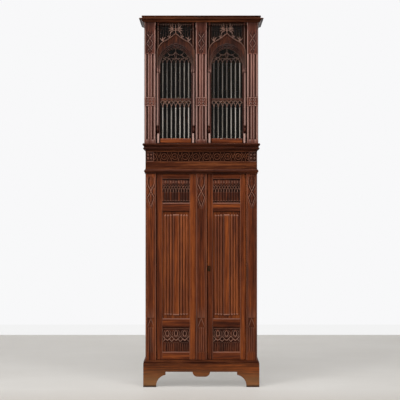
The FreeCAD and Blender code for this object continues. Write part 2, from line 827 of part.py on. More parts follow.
def frieze_rings(panel_half, level):
    """A frame round a row of open rings, each tied to the frame and, by crossing bars, to the next ring."""
    step = panel_half.value * 2 / FRIEZE_RINGS
    outer = size.frieze_ring_radius.value
    inner = outer - size.frieze_ring_width.value
    depth = size.frieze_sunk_depth.value
    half_height = size.frieze_panel_height.value / 2
    frame = block((-panel_half.value, 0, -half_height), (panel_half.value, depth, half_height))
    border = size.frieze_ring_width.value
    window = block((border - panel_half.value, 0, border - half_height),
                   (panel_half.value - border, depth, half_height - border))
    pieces = []
    holes = []
    for index in range(FRIEZE_RINGS):
        centre = step * (index + 0.5) - panel_half.value
        pieces.append(disc(centre, 0, outer, 0, depth))
        holes.append(disc(centre, 0, inner, 0, depth))
        tie = block((centre - border / 2, 0, -half_height), (centre + border / 2, depth, half_height))
        pieces.append(tie)
        if index < FRIEZE_RINGS - 1:
            pieces += [frieze_bar(centre + step / 2, step, slope) for slope in (LEFT, RIGHT)]
    joined = frame.cut(window).multiFuse(pieces).common(frame)
    pierced = joined.cut(Part.makeCompound(holes)).removeSplitter()
    return shaped("frieze_tracery", pierced.Solids[0], (0, lower_face, level))


def frieze_bar(centre, step, slope):
    """One of the two crossing bars between neighbouring rings, laid along the middle of the rings' rims."""
    width = size.frieze_ring_width.value
    rim = size.frieze_ring_radius.value - width / 2
    bar = block((-step / 2, 0, -width / 2), (step / 2, size.frieze_sunk_depth.value, width / 2))
    bar.rotate(FreeCAD.Vector(), FRONTWARD, slope * math.degrees(math.asin(rim * 2 / step)))
    bar.translate(FreeCAD.Vector(centre, 0, 0))
    return bar


# Lower doors


def lower_rails():
    """Heights of the lower doors' four rails."""
    foot = lower_door_base + size.bottom_rail_height
    lock_rail = foot + size.foot_panel_height
    head_top = lower_door_top - size.top_rail_height
    frieze_rail = head_top - size.head_panel_height
    return [(lower_door_base, foot), (lock_rail, lock_rail + size.lock_rail_height),
            (frieze_rail - size.frieze_rail_height, frieze_rail), (head_top, lower_door_top)]


def lower_door(side):
    """A panelled leaf: its joined frame, linenfold panel and two carved panels."""
    name = f"lower_{SIDE_NAMES[side]}"
    free_edge = lower_meeting if side == RIGHT else -lower_strip
    across = span(side, free_edge, lower_hinge_edge)
    meeting_width = lower_panel_inner - free_edge
    pivots = [pivot_bore(f"{name}_pivot_{end}", lower_pivot * side, lower_pivot_depth, level, end)
              for level, end in ((lower_door_base, RIGHT), (lower_door_top, LEFT))]
    if side == RIGHT:
        lock = lower_lock()
        meeting_cuts = [lock.pocket] + keyhole(f"{name}_keyhole", lock, lower_door_face, lock.front)
    else:
        meeting_cuts = [lower_lock().mortise]
        for end, level in ((LEFT, lower_door_base), (RIGHT, lower_door_top)):
            meeting_cuts += bolt_bore(f"{name}_bolt_{end}", lower_bolt_place(), level, end, lower_door_rear)
    band = middle_third(lower_door_face, lower_door_rear)
    widths = (meeting_width, size.lower_stile_width)
    tools = (meeting_cuts, pivots)
    if side == LEFT:
        widths, tools = widths[::-1], tools[::-1]
    rails = lower_rails()
    joined_frame(f"{name}_door_frame", door_turn, across, widths, rails, (lower_door_face, lower_door_rear),
                 band, band, tools)
    opening = span(side, lower_panel_inner, lower_panel_outer)
    heights = [(below[1], above[0]) for below, above in zip(rails, rails[1:])]
    foot_panel = carved_panel(f"{name}_foot_panel", side, opening, heights[0], band, foot_carving)
    head_panel = carved_panel(f"{name}_head_panel", side, opening, heights[2], band, head_carving)
    node(group(f"{name}_carved_panels", [foot_panel, head_panel]), f"{name}_carved_panels")
    linenfold_panel(f"{name}_linenfold_panel", side, opening, heights[1], band)


def carved_panel(name, side, opening, heights, band, carving):
    """A panel with a raised field, carved through its face with a pattern."""
    tongue = flat_panel(f"{name}_tongue", door_turn, opening, heights, band)
    width = (opening[1] - opening[0]).value
    height = (heights[1] - heights[0]).value
    play = size.panel_clearance.value
    proud = size.panel_field_proud.value
    field = block((play - width / 2, -proud, play), (width / 2 - play, play, height - play))
    ground = carving(width, height, -proud, size.carving_depth.value - proud)
    relief = shaped(f"{name}_field", field.cut(Part.makeCompound(ground)),
                    (lower_panel_middle * side, band[0], heights[0]))
    return fuse(name, tongue, relief)


def head_carving(width, height, front, ground):
    """Cutters for the upper panels: an arcade of narrow lancets under a plain slip."""
    margin = size.panel_margin.value
    bar = size.carving_bar.value
    pitch = (width - 2 * margin + bar) / HEAD_LANCETS
    half = (pitch - bar) / 2
    spring = height - 2 * margin - pitch
    cutters = []
    for index in range(HEAD_LANCETS):
        centre = margin - width / 2 + half + pitch * index
        cutters.append(prism(lancet(centre, margin, spring, half, pitch), front, ground))
    return cutters


def foot_carving(width, height, front, ground):
    """Cutters for the lower panels: a row of ringed circles over pairs of lancets."""
    margin = size.panel_margin.value
    bar = size.carving_bar.value
    pitch = (width - 2 * margin) / FOOT_CIRCLES
    radius = (pitch - size.foot_circle_gap.value) / 2
    level = height - margin - radius
    half = pitch / 4 - bar / 2
    spring = level - radius - 2 * bar - half
    cutters = []
    for index in range(FOOT_CIRCLES):
        centre = pitch * (index - (FOOT_CIRCLES - 1) / 2)
        boss = disc(centre, level, radius - bar, front, ground)
        cutters.append(disc(centre, level, radius, front, ground).cut(boss))
        for beside in (LEFT, RIGHT):
            wire = lancet(centre + beside * pitch / 4, margin, spring, half, half * 2)
            cutters.append(prism(wire, front, ground))
    return cutters


def linenfold_panel(name, side, opening, heights, band):
    """The tall panel, carved as hanging folds of cloth with a flat middle fold."""
    half = (opening[1] - opening[0]) / 2 - size.fold_side_margin
    high = size.fold_proud
    crests = [(half * across, -(high * up)) for across, up in FOLD_CREST_SHARES]
    valleys = [(half * across, -(high * up)) for across, up in FOLD_VALLEY_SHARES]
    middle = -(high * FOLD_MIDDLE_SHARE)
    right = [(half * FOLD_FLAT_SHARE, middle), valleys[0]]
    for crest, valley in zip(crests, valleys[1:]):
        right += [crest, valley]
    left = [(-across, through) for across, through in reversed(right)]
    corners = [(across, through, 0) for across, through in left + right]
    length = heights[1] - heights[0] - size.fold_end_margin * 2
    ground = band[0] + size.panel_clearance
    folds = padded(f"{name}_folds", "XY_Plane", corners, length,
                   (lower_panel_middle * side, ground, heights[0] + size.fold_end_margin))
    tongue = flat_panel(f"{name}_tongue", door_turn, opening, heights, band)
    node(fuse(name, tongue, folds), name)


# Upper doors


def upper_door(side):
    """A glazed leaf: its rebated frame, arch board, tracery, spindles, colonnettes, glass and beads."""
    name = f"upper_{SIDE_NAMES[side]}"
    free_edge = upper_meeting if side == RIGHT else -upper_strip
    across = span(side, free_edge, upper_hinge_edge)
    meeting_width = window_inner - free_edge
    if side == LEFT:
        lock = upper_lock()
        meeting_cuts = [lock.pocket] + keyhole(f"{name}_keyhole", lock, upper_door_face, lock.front)
    else:
        meeting_cuts = [upper_lock().mortise]
        for end, level in ((LEFT, upper_door_base), (RIGHT, upper_door_top)):
            meeting_cuts += bolt_bore(f"{name}_bolt_{end}", upper_bolt_place(), level, end, upper_door_rear)
    widths = (meeting_width, size.upper_stile_width)
    tools = (meeting_cuts, [])
    if side == LEFT:
        widths, tools = widths[::-1], tools[::-1]
    rails = [(upper_door_base, window_sill), (window_head, upper_door_top)]
    rebate = (glass_face, upper_door_rear + size.overrun)
    joined_frame(f"{name}_door_frame", door_turn, across, widths, rails, (upper_door_face, upper_door_rear),
                 middle_third(upper_door_face, glass_face), rebate, tools)
    middle = window_middle * side
    node(shaped(f"{name}_arch", arch_board(), (middle, upper_door_face, window_head)), f"{name}_arch")
    window_tracery(name, middle)
    spindles(name, middle)
    colonnettes(name, side)
    glazing(name, middle)


def arch_radius():
    """Radius of the two arcs that give the window its span and rise."""
    half = window_half.value
    rise = size.arch_rise.value
    return (half ** 2 + rise ** 2) / (2 * half)


def arch_board():
    """The board over a window: a pointed opening with a roll round it, an ogee hood and a pierced fret.

    Its heights are measured from the window's head.
    """
    half = window_half.value
    radius = arch_radius()
    spring = (arch_spring - window_head).value
    depth = size.window_face_thickness.value
    past = size.overrun.value
    panel = block((-half, 0, spring), (half, depth, 0))
    opening = prism(lancet(0, spring - past, spring, half, radius), -past, depth + past)
    inset = size.arch_roll_inset.value
    outside = lancet(0, spring, spring, half, radius, inset + size.arch_roll_width.value)
    inside = lancet(0, spring, spring, half, radius, inset)
    proud = size.arch_roll_proud.value
    slab = block((-half, -size.hood_proud.value, spring), (half, 0, 0))
    roll = prism(outside, -proud, 0).cut(prism(inside, -proud, 0)).common(slab)
    hood = hood_band(half).common(slab)
    board_shape = panel.cut(opening).cut(Part.makeCompound(fret_slots(half, depth)))
    return board_shape.fuse([roll, hood] + crockets()).removeSplitter().Solids[0]


def hood_line(half, lift):
    """Points of the ogee hood's right half: its foot, the turn of its curve and its apex."""
    foot = FreeCAD.Vector(half + size.upper_stile_width.value, 0, lift - size.hood_foot_depth.value)
    apex = FreeCAD.Vector(0, 0, lift - size.hood_apex_depth.value)
    return foot, (foot + apex) / 2, apex


def hood_band(half):
    """The ogee hood mould: a shoulder that swells out and a neck that sweeps up to the point."""
    width = size.hood_width.value
    bend = size.hood_shoulder_radius.value
    edges = []
    for lift in (0, width):
        for side in (LEFT, RIGHT):
            points = hood_line(half, lift)
            foot, turn, apex = (FreeCAD.Vector(point.x * side, 0, point.z) for point in points)
            edges.append(ogee_arc(foot, turn, bend * side))
            edges.append(ogee_arc(turn, apex, -bend * side))
    for side in (LEFT, RIGHT):
        foot = hood_line(half, 0)[0]
        low = FreeCAD.Vector(foot.x * side, 0, foot.z)
        edges.append(Part.makeLine(low, low + UPWARD * width))
    return prism(Part.Wire(Part.__sortEdges__(edges)), -size.hood_proud.value, 0)


def ogee_arc(start, end, radius):
    """An arc in the XZ plane between two points; a positive radius turns left seen from the front."""
    flat_start = FreeCAD.Vector(start.x, start.z, 0)
    flat_end = FreeCAD.Vector(end.x, end.z, 0)
    middle = arc_middle(flat_start, flat_end, radius)
    return Part.Arc(start, FreeCAD.Vector(middle.x, 0, middle.y), end).toShape()


def crockets():
    """Leaf bosses up the hood and the finial on its point, as round bosses and a lozenge."""
    half = window_half.value
    foot, _, apex = hood_line(half, size.hood_width.value)
    radius = size.crocket_radius.value
    proud = -size.hood_proud.value
    bosses = []
    for share in HOOD_CROCKET_SHARES:
        across = half * (1 - share)
        up = foot.z + (apex.z - foot.z) * (1 - across / foot.x)
        bosses += [disc(across * side, up, radius, proud, 0) for side in (LEFT, RIGHT)]
    reach = size.finial_width.value / 2
    tip = -size.overrun.value
    middle = (tip + apex.z) / 2
    corners = [(0, apex.z - radius), (reach, middle), (0, tip), (-reach, middle), (0, apex.z - radius)]
    outline = Part.makePolygon([FreeCAD.Vector(across, 0, up) for across, up in corners])
    return bosses + [prism(outline, proud, 0)]


def fret_slots(half, depth):
    """Narrow lancets pierced through the board above the hood, in a row on each side of the finial."""
    past = size.overrun.value
    slot = size.fret_slot_width.value / 2
    foot, _, apex = hood_line(half, size.hood_width.value * 2)
    cutters = []
    for index in range(FRET_SLOTS):
        across = half - slot - size.overrun.value - size.fret_slot_spacing.value * index
        up = foot.z + (apex.z - foot.z) * (1 - across / foot.x) + size.crocket_radius.value
        spring = up * FRET_HEAD_SHARE
        for side in (LEFT, RIGHT):
            cutters.append(prism(lancet(across * side, up, spring, slot, slot * 2), -past, depth + past))
    return cutters


def light_centres():
    """Places across the window of its narrow lights, from one jamb to the other."""
    return [spindle_pitch.value * (index - SPINDLES / 2) for index in range(SPINDLES + 1)]


def light_cutters(foot, spring):
    """Cutters for the pointed heads of the narrow lights."""
    half = spindle_pitch.value / 2 - size.spindle_radius.value
    thick = size.tracery_thickness.value
    return [prism(lancet(centre, foot, spring, half, size.light_radius.value), 0, thick)
            for centre in light_centres()]


def window_tracery(name, middle):
    """The pierced head of the window and the transom with its small arcade."""
    half = window_half.value
    radius = arch_radius()
    thick = size.tracery_thickness.value
    past = size.overrun.value
    front = upper_door_face + (size.window_face_thickness - size.tracery_thickness) / 2
    foot = (light_spring - arch_spring).value
    head = prism(lancet(0, 0, 0, half, radius), 0, thick).common(
        block((-half, 0, foot), (half, thick, size.arch_rise.value + past)))
    lights = light_cutters(foot - past, foot + past)
    rise = size.arch_rise.value
    for across, up, share in ROUND_LIGHT_SHARES:
        lights += [disc(half * across * side, rise * up, half * share, 0, thick) for side in (LEFT, RIGHT)]
    pierced = head.cut(lights).removeSplitter().Solids[0]
    head_piece = shaped(f"{name}_tracery_head", pierced, (middle, front, arch_spring))
    arcade = block((-half, 0, 0), (half, thick, size.arcade_height.value))
    arcade = arcade.cut(light_cutters(-past, size.arcade_height.value / 3))
    bar = block((-half, 0, size.arcade_height.value), (half, thick, (transom_top - arcade_foot).value))
    rail = arcade.fuse(bar).removeSplitter().Solids[0]
    transom = shaped(f"{name}_transom", rail, (middle, front, arcade_foot))
    node(group(f"{name}_tracery", [head_piece, transom]), f"{name}_tracery")


def spindles(name, middle):
    """Turned bars in two tiers, from the sill to the arcade and from the transom to the tracery head."""
    depth = upper_door_face + size.window_face_thickness / 2
    bars = []
    for index in range(SPINDLES):
        across = middle + spindle_pitch * (index - (SPINDLES - 1) / 2)
        for tier, low, high in (("lower", window_sill, arcade_foot), ("upper", transom_top, light_spring)):
            label = f"{name}_{tier}_spindle_{index}"
            bars.append(rod(label, size.spindle_radius, (across, depth, low), high - low))
    node(group(f"{name}_spindles", bars), f"{name}_spindles")


def colonnette(name, across):
    """A turned colonnette the height of the door: pedestal, base, shaft, capital, roll and head."""
    ring, shaft, roll = size.colonnette_ring, size.colonnette_radius, size.colonnette_roll
    pedestal = size.pedestal_height
    base_top = pedestal + size.colonnette_base
    capital = size.capital_foot
    capital_top = capital + size.capital_height
    top = upper_door_top - upper_door_base
    head = top - size.colonnette_head
    corners = [(0, 0, 0), (ring, 0, 0), (size.pedestal_radius, size.colonnette_ring, 0),
               (size.pedestal_radius, pedestal, 0), (ring, pedestal + ring, 0), (ring, base_top - ring, 0),
               (shaft, base_top, 0), (shaft, capital, 0), (ring, capital + ring, 0), (ring, capital_top, 0),
               (roll, capital_top + roll, 0), (roll, head, 0), (ring, head + roll, 0), (ring, top, 0),
               (0, top, 0)]
    body = doc.addObject("PartDesign::Body", name)
    turned = body.newObject("PartDesign::Revolution", f"{name}_turned")
    turned.Profile = new_sketch(body, f"{name}_outline", "XZ_Plane", [corners])
    turned.ReferenceAxis = (origin_feature(body, "Z_Axis"), [""])
    body.Tip = turned
    place(body, (across, upper_pivot_depth, upper_door_base))
    return body


def colonnettes(name, side):
    """The colonnettes beside a window; the outer one turns on the door's pins."""
    hinge = colonnette(f"{name}_hinge_colonnette_turning", upper_pivot * side)
    bores = [pivot_bore(f"{name}_pivot_{end}", upper_pivot * side, upper_pivot_depth, level, end)
             for level, end in ((upper_door_base, RIGHT), (upper_door_top, LEFT))]
    hinge = cut(f"{name}_hinge_colonnette", hinge, bores)
    inner = colonnette(f"{name}_meeting_colonnette", (window_inner - size.upper_stile_width / 2) * side)
    node(group(f"{name}_colonnettes", [hinge, inner]), f"{name}_colonnettes")


def glazing(name, middle):
    """The pane in its rebate and the four beads that hold it from behind."""
    reach = window_half + size.groove_depth - size.panel_clearance
    low = window_sill - size.groove_depth + size.panel_clearance
    high = window_head + size.groove_depth - size.panel_clearance
    glass_rear = glass_face + size.glass_thickness
    pane = board(f"{name}_glass", (middle - reach, glass_face, low), (middle + reach, glass_rear, high))
    node(pane, f"{name}_glass")
    bead = size.glazing_bead
    bead_rear = glass_rear + bead
    beads = []
    for side in (LEFT, RIGHT):
        edge = middle + reach * side
        inner = edge - bead * side
        near, far = (edge, inner) if side == LEFT else (inner, edge)
        label = f"{name}_{SIDE_NAMES[side]}_bead"
        beads.append(board(label, (near, glass_rear, low), (far, bead_rear, high)))
    for label, foot, top in (("sill", low, low + bead), ("head", high - bead, high)):
        beads.append(board(f"{name}_{label}_bead", (middle - reach + bead, glass_rear, foot),
                           (middle + reach - bead, bead_rear, top)))
    node(group(f"{name}_glazing_beads", beads), f"{name}_glazing_beads")


# Pivots, bolts and locks


def pin_hole(name, across, depth, level, direction):
    """The snug hole in a case board for one pivot pin, going up (1) or down (-1) from the board's face."""
    half = size.pin_length / 2
    return rod(name, size.pin_radius, (across, depth, level), half, UPWARD * direction)


def pivot_bore(name, across, depth, level, direction):
    """The running hole in a door for one pivot pin, going up (1) or down (-1) from the door's end."""
    bore = size.pin_radius + size.pin_clearance
    length = size.pin_length / 2 + size.overrun * 2
    return rod(name, bore, (across, depth, level - size.overrun * direction), length, UPWARD * direction)


def pivot_pins():
    """Iron pins, half in the case's boards and half in the doors, above and below each door."""
    pins = []
    half = size.pin_length / 2
    stages = (("lower", lower_pivot, lower_pivot_depth, (floor_top, frieze_base)),
              ("upper", upper_pivot, upper_pivot_depth, (waist_top, cornice_base)))
    for stage, across, depth, levels in stages:
        for side in (LEFT, RIGHT):
            for end, level in zip(("foot", "head"), levels):
                pins.append(rod(f"{stage}_{SIDE_NAMES[side]}_{end}_pin", size.pin_radius,
                                (across * side, depth, level - half), size.pin_length))
    node(group("pivot_pins", pins), "pivot_pins")


def lower_bolt_place():
    """Where the lower left door's bolts run: in the wide stile behind the strip."""
    return (0, lower_door_rear - size.door_thickness / 2)


def upper_bolt_place():
    """Where the upper right door's bolts run: in the solid part of its meeting stile."""
    solid = size.upper_stile_width - size.groove_depth
    return (upper_meeting + solid / 2, upper_door_rear - size.door_thickness / 2)


def keep(name, spot, level, direction):
    """The hole in a case board that a bolt shoots into."""
    depth = size.bolt_travel + size.keep_clearance
    return rod(name, size.bolt_radius + size.keep_clearance, (*spot, level), depth, UPWARD * direction)


def bolt_bore(name, spot, level, end, rear):
    """The bore for a bolt in the end of a stile, and the slot behind it for the bolt's stud."""
    play = size.bolt_radius + size.bolt_clearance
    length = size.bolt_length + size.bolt_end_recess + size.bolt_travel + size.overrun
    bore = rod(f"{name}_bore", play, (*spot, level + size.overrun * end), length, UPWARD * -end)
    stud = bolt_stud_level(level, end)
    side_play = size.bolt_stud_radius + size.keep_clearance
    low, high = (stud - side_play, stud + size.bolt_travel + side_play)
    if end == LEFT:
        low, high = (stud - size.bolt_travel - side_play, stud + side_play)
    slot = board(f"{name}_slot", (spot[0] - side_play, spot[1], low),
                 (spot[0] + side_play, rear + size.overrun, high))
    return [fuse(name, bore, slot)]


def bolt_stud_level(level, end):
    """Height of a bolt's stud, halfway along the drawn bolt."""
    return level - (size.bolt_end_recess + size.bolt_length / 2) * end


def edge_bolt(label, spot, level, end, rear):
    """A round bolt drawn back into its stile, with the stud that slides it."""
    foot = level - size.bolt_end_recess * end
    bolt = rod(f"{label}_rod", size.bolt_radius, (*spot, foot), size.bolt_length, UPWARD * -end)
    stud = rod(f"{label}_stud", size.bolt_stud_radius, (*spot, bolt_stud_level(level, end)),
               rear - spot[1] + size.bolt_stud_reach, BACKWARD)
    node(fuse(label, bolt, stud), label)


def edge_bolts():
    """Head and foot bolts of the two doors that are fastened first."""
    for name, spot, low, high, rear in (
            ("lower_left", lower_bolt_place(), lower_door_base, lower_door_top, lower_door_rear),
            ("upper_right", upper_bolt_place(), upper_door_base, upper_door_top, upper_door_rear)):
        edge_bolt(f"{name}_foot_bolt", spot, low, LEFT, rear)
        edge_bolt(f"{name}_head_bolt", spot, high, RIGHT, rear)


def lock_layout(name, edge, facing, level, rear, other_edge, width, across):
    """Places of one lock let into a stile's back: its pocket, bolt, keyhole and the mortise opposite.

    facing is the way the bolt shoots, -1 to the left or 1 to the right, and across is the keyhole's place.
    """
    half = size.lock_height / 2
    front = rear - size.lock_depth
    middle = (front + rear) / 2
    bolt_low = level + size.keyhole_radius * 2
    bolt_high = bolt_low + size.lock_bolt_height
    bolt_front = middle - size.lock_bolt_thickness / 2
    bolt_rear = middle + size.lock_bolt_thickness / 2
    play = size.keep_clearance

    def ranged(start, end):
        """A range of X from a start to an end measured back from the edge."""
        near, far = edge - start * facing, edge - end * facing
        return (far, near) if facing == RIGHT else (near, far)

    low, high = ranged(0, width)
    pocket = ((low, front, level - half), (high, rear, level + half))
    near, far = ranged(play, width - size.lock_wall * 2)
    bolt = ((near, bolt_front, bolt_low), (far, bolt_rear, bolt_high))
    far_end = other_edge + size.lock_bolt_travel * facing
    near_end = other_edge - size.overrun * facing
    near, far = (near_end, far_end) if facing == RIGHT else (far_end, near_end)
    mortise = board(f"{name}_mortise", (near, bolt_front - play, bolt_low - play),
                    (far, bolt_rear + play, bolt_high + play))
    near, far = ranged(-size.overrun, size.lock_wall * 2)
    slide = play / 2
    slot = ((near, bolt_front - slide, bolt_low - slide), (far, bolt_rear + slide, bolt_high + slide))
    return SimpleNamespace(pocket=board(f"{name}_pocket", *pocket), corners=pocket, bolt=bolt, slot=slot,
                           mortise=mortise, front=front, level=level, across=across)


@cache
def lower_lock():
    """The lower right door's lock, which shoots into the left door."""
    level = floor_top + size.lower_lock_height
    across = lower_meeting + size.lock_backset
    return lock_layout("lower_lock", lower_meeting, LEFT, level, lower_door_rear, lower_strip,
                       size.lower_lock_width, across)


@cache
def upper_lock():
    """The upper left door's lock, behind the middle block of its strip, which shoots into the right door."""
    level = waist_top + size.block_foot + size.block_height / 2
    return lock_layout("upper_lock", upper_strip, RIGHT, level, upper_door_rear, upper_meeting,
                       size.upper_lock_width, 0)


def keyhole(name, lock, front, rear):
    """Cutters for a keyhole: a round hole and the slot below it."""
    past = size.overrun
    hole = rod(f"{name}_round", size.keyhole_radius, (lock.across, front - past, lock.level),
               rear - front + past, BACKWARD)
    half = size.keyhole_slot / 2
    slot = board(f"{name}_slot", (lock.across - half, front - past, lock.level - size.keyhole_drop),
                 (lock.across + half, rear, lock.level))
    return [fuse(name, hole, slot)]


def locks():
    """Iron lock cases with their sliding bolts, and the plate round the lower keyhole."""
    wall = size.lock_wall
    for label, lock in (("lower_lock", lower_lock()), ("upper_lock", upper_lock())):
        low, high = lock.corners
        case = board(f"{label}_box", low, high)
        hollow = board(f"{label}_hollow", tuple(edge + wall for edge in low),
                       tuple(edge - wall for edge in high))
        slot = board(f"{label}_bolt_slot", *lock.slot)
        hollow = fuse(f"{label}_room", hollow, slot)
        way_in = keyhole(f"{label}_case_keyhole", lock, lock.front, lock.front + wall)
        node(cut(f"{label}_case", case, [hollow] + way_in), f"{label}_case")
        node(board(f"{label}_bolt", *lock.bolt), f"{label}_bolt")
    lock = lower_lock()
    half_width = size.escutcheon_width / 2
    foot = lock.level - size.keyhole_drop / 2 - size.escutcheon_height / 2
    plate_face = lower_door_face - size.escutcheon_thickness
    plate = board("escutcheon_plate", (lock.across - half_width, plate_face, foot),
                  (lock.across + half_width, lower_door_face, foot + size.escutcheon_height))
    holes = keyhole("escutcheon_keyhole", lock, plate_face, lower_door_face)
    node(cut("lower_escutcheon", plate, holes), "lower_escutcheon")


def build():
    """Makes every sub-part from the floor up."""
    plinth_front()
    plinth_sides()
    plinth_back()
    moulding("plinth_moulding", lower_half, lower_face, size.plinth_projection, size.plinth_height,
             size.board_thickness, PLINTH_SHARES, 0)
    bottom_board()
    waist_board()
    top_board()
    case_sides()
    back_boards("lower", lower_half, floor_top, waist_board_base)
    back_boards("upper", upper_half, waist_top, cornice_base)
    shelves()
    corner_pilasters()
    centre_strips()
    frieze()
    moulding("waist_moulding", upper_half, upper_face, size.waist_projection, frieze_top, size.waist_height,
             WAIST_SHARES, size.upper_overhang)
    moulding("cornice", upper_half, upper_face, size.cornice_projection, cornice_base, size.cornice_height,
             CORNICE_SHARES, 0)
    for side in (LEFT, RIGHT):
        lower_door(side)
        upper_door(side)
    pivot_pins()
    edge_bolts()
    locks()
    doc.recompute()


def check_and_write():
    """Stops on any failed object or bad shape, then writes each sub-part to its own file."""
    failed = [item.Label for item in doc.Objects if "Invalid" in item.State or "Error" in item.State]
    if failed:
        raise RuntimeError(f"failed objects: {failed}")
    bad = [item.Label for item in nodes if item.Shape.isNull() or not item.Shape.isValid()]
    if bad:
        raise RuntimeError(f"bad shapes: {bad}")
    os.makedirs("parts", exist_ok=True)
    for item in nodes:
        item.Shape.exportStep(f"parts/{item.Label}.step")
    print(len(nodes), "nodes,", sum(len(item.Shape.Solids) for item in nodes), "solids")


build()
check_and_write()
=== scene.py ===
"""Looks of a Gothic oak cabinet: carved and waxed oak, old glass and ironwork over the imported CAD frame.

Lengths are millimetres until a mesh is made: x to the right, y to the back, z up.
"""
import math

import bmesh
import bpy
import numpy as np
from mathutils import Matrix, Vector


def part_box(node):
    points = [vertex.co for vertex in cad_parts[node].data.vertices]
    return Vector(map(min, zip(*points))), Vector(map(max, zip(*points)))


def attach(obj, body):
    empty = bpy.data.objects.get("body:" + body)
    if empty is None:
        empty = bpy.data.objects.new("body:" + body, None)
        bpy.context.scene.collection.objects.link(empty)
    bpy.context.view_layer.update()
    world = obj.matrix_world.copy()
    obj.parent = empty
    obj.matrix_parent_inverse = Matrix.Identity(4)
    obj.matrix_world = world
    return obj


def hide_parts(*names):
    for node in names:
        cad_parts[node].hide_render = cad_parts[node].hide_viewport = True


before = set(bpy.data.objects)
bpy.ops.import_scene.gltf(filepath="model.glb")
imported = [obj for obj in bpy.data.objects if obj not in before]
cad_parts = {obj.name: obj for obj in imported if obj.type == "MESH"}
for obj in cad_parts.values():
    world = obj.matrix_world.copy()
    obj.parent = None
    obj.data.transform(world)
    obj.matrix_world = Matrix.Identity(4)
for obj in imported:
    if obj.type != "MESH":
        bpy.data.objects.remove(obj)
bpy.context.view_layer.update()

MM = 0.001
SMOOTH_ANGLE = math.radians(38)
HANDS = ((-1, "left"), (1, "right"))
ACROSS, UPWARD = 0, 2


def extent(node):
    """A CAD node's lowest and highest corners in millimetres."""
    return [np.array(corner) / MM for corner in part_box(node)]


# Sizes shared by several pieces, read from the frame where a node gives them.
LOWER_FACE = extent("lower_left_pilaster")[0][1]
UPPER_FACE = extent("upper_left_pilaster")[0][1]
BACK = extent("lower_back_boards")[1][1]
(_, LOWER_DOOR, DOOR_BASE), (_, LOWER_DOOR_REAR, DOOR_TOP) = extent("lower_left_door_frame")
(_, UPPER_DOOR, UPPER_DOOR_BASE), (_, _, UPPER_DOOR_TOP) = extent("upper_left_door_frame")
# Rear of what is planted on the upper doors' faces.
PLANTED = UPPER_DOOR - 0.2
# Travel of the edge bolts and of the lock's bolt, and the play of an edge bolt's stud in its slot.
BOLT_TRAVEL, LOCK_TRAVEL, STUD_PLAY = 12.0, 11.0, 3.6
# Carved heads of the pilasters: the lower one's height, and the upper one's start above the pilaster's foot.
LOWER_HEAD, UPPER_HEAD = 206, 530
# Pilasters and strips: the band of the edge bead, and the slope at the very edge.
BEAD_BAND, EASED_EDGE = 11, 2.0
# Lower doors' panels: their middle, half width, depth of the ground and height of the carving on it.
PANEL_MIDDLE, PANEL_HALF, PANEL_GROUND, PANEL_RELIEF = 150.0, 80.5, 9.0, 7.0
# Pitch of the head panels' reeds.
HEAD_PITCH = 16.1
FOOT_RAIL, FOOT_PANEL_TOP = 207.5, 351.5
FOLD_BASE, FOLD_TOP = 405.5, 1041.5
HEAD_PANEL_BASE, HEAD_PANEL_TOP = 1092.5, 1233.5
WINDOW_MIDDLE, WINDOW_HALF = 152.0, 92.5
WINDOW_SILL, WINDOW_HEAD = 1472.5, 2140.5
ARCH_SPRING, ARCH_CROWN = 1902.0, 2010.0
ARCADE_BASE, TRANSOM_BASE, TRANSOM_TOP = 1656.0, 1698.0, 1712.0
SPINDLE_PITCH, SPINDLE_COUNT, SPINDLE_TOP = 25.6, 7, 1922.0


def linear(code):
    """An sRGB hex colour as linear red, green, blue and a full alpha."""
    part = np.array([int(code[start:start + 2], 16) for start in (1, 3, 5)]) / 255
    light = np.where(part <= 0.04045, part / 12.92, ((part + 0.055) / 1.055) ** 2.4)
    return (*light, 1.0)


def add(tree, kind, links=None, **settings):
    """Adds one shader node with its settings and sets or links its sockets, a node by its first output."""
    made = tree.nodes.new("ShaderNode" + kind)
    for key, value in settings.items():
        setattr(made, key, value)
    for socket, value in (links or {}).items():
        if isinstance(value, bpy.types.Node):
            value = value.outputs[0]
        if isinstance(value, bpy.types.NodeSocket):
            tree.links.new(value, made.inputs[socket])
        else:
            made.inputs[socket].default_value = value
    return made


def blank(name):
    """A material and its empty node tree."""
    material = bpy.data.materials.new(name)
    material.use_nodes = True
    material.node_tree.nodes.clear()
    return material, material.node_tree


# Pale oak at the foot, rubbed and painted with light from the floor; the near-black of grime and painted
# shade.
BARE_AND_FLOOR_LIT_OAK, SOOT_AND_SHADE = "#8f6540", "#120704"


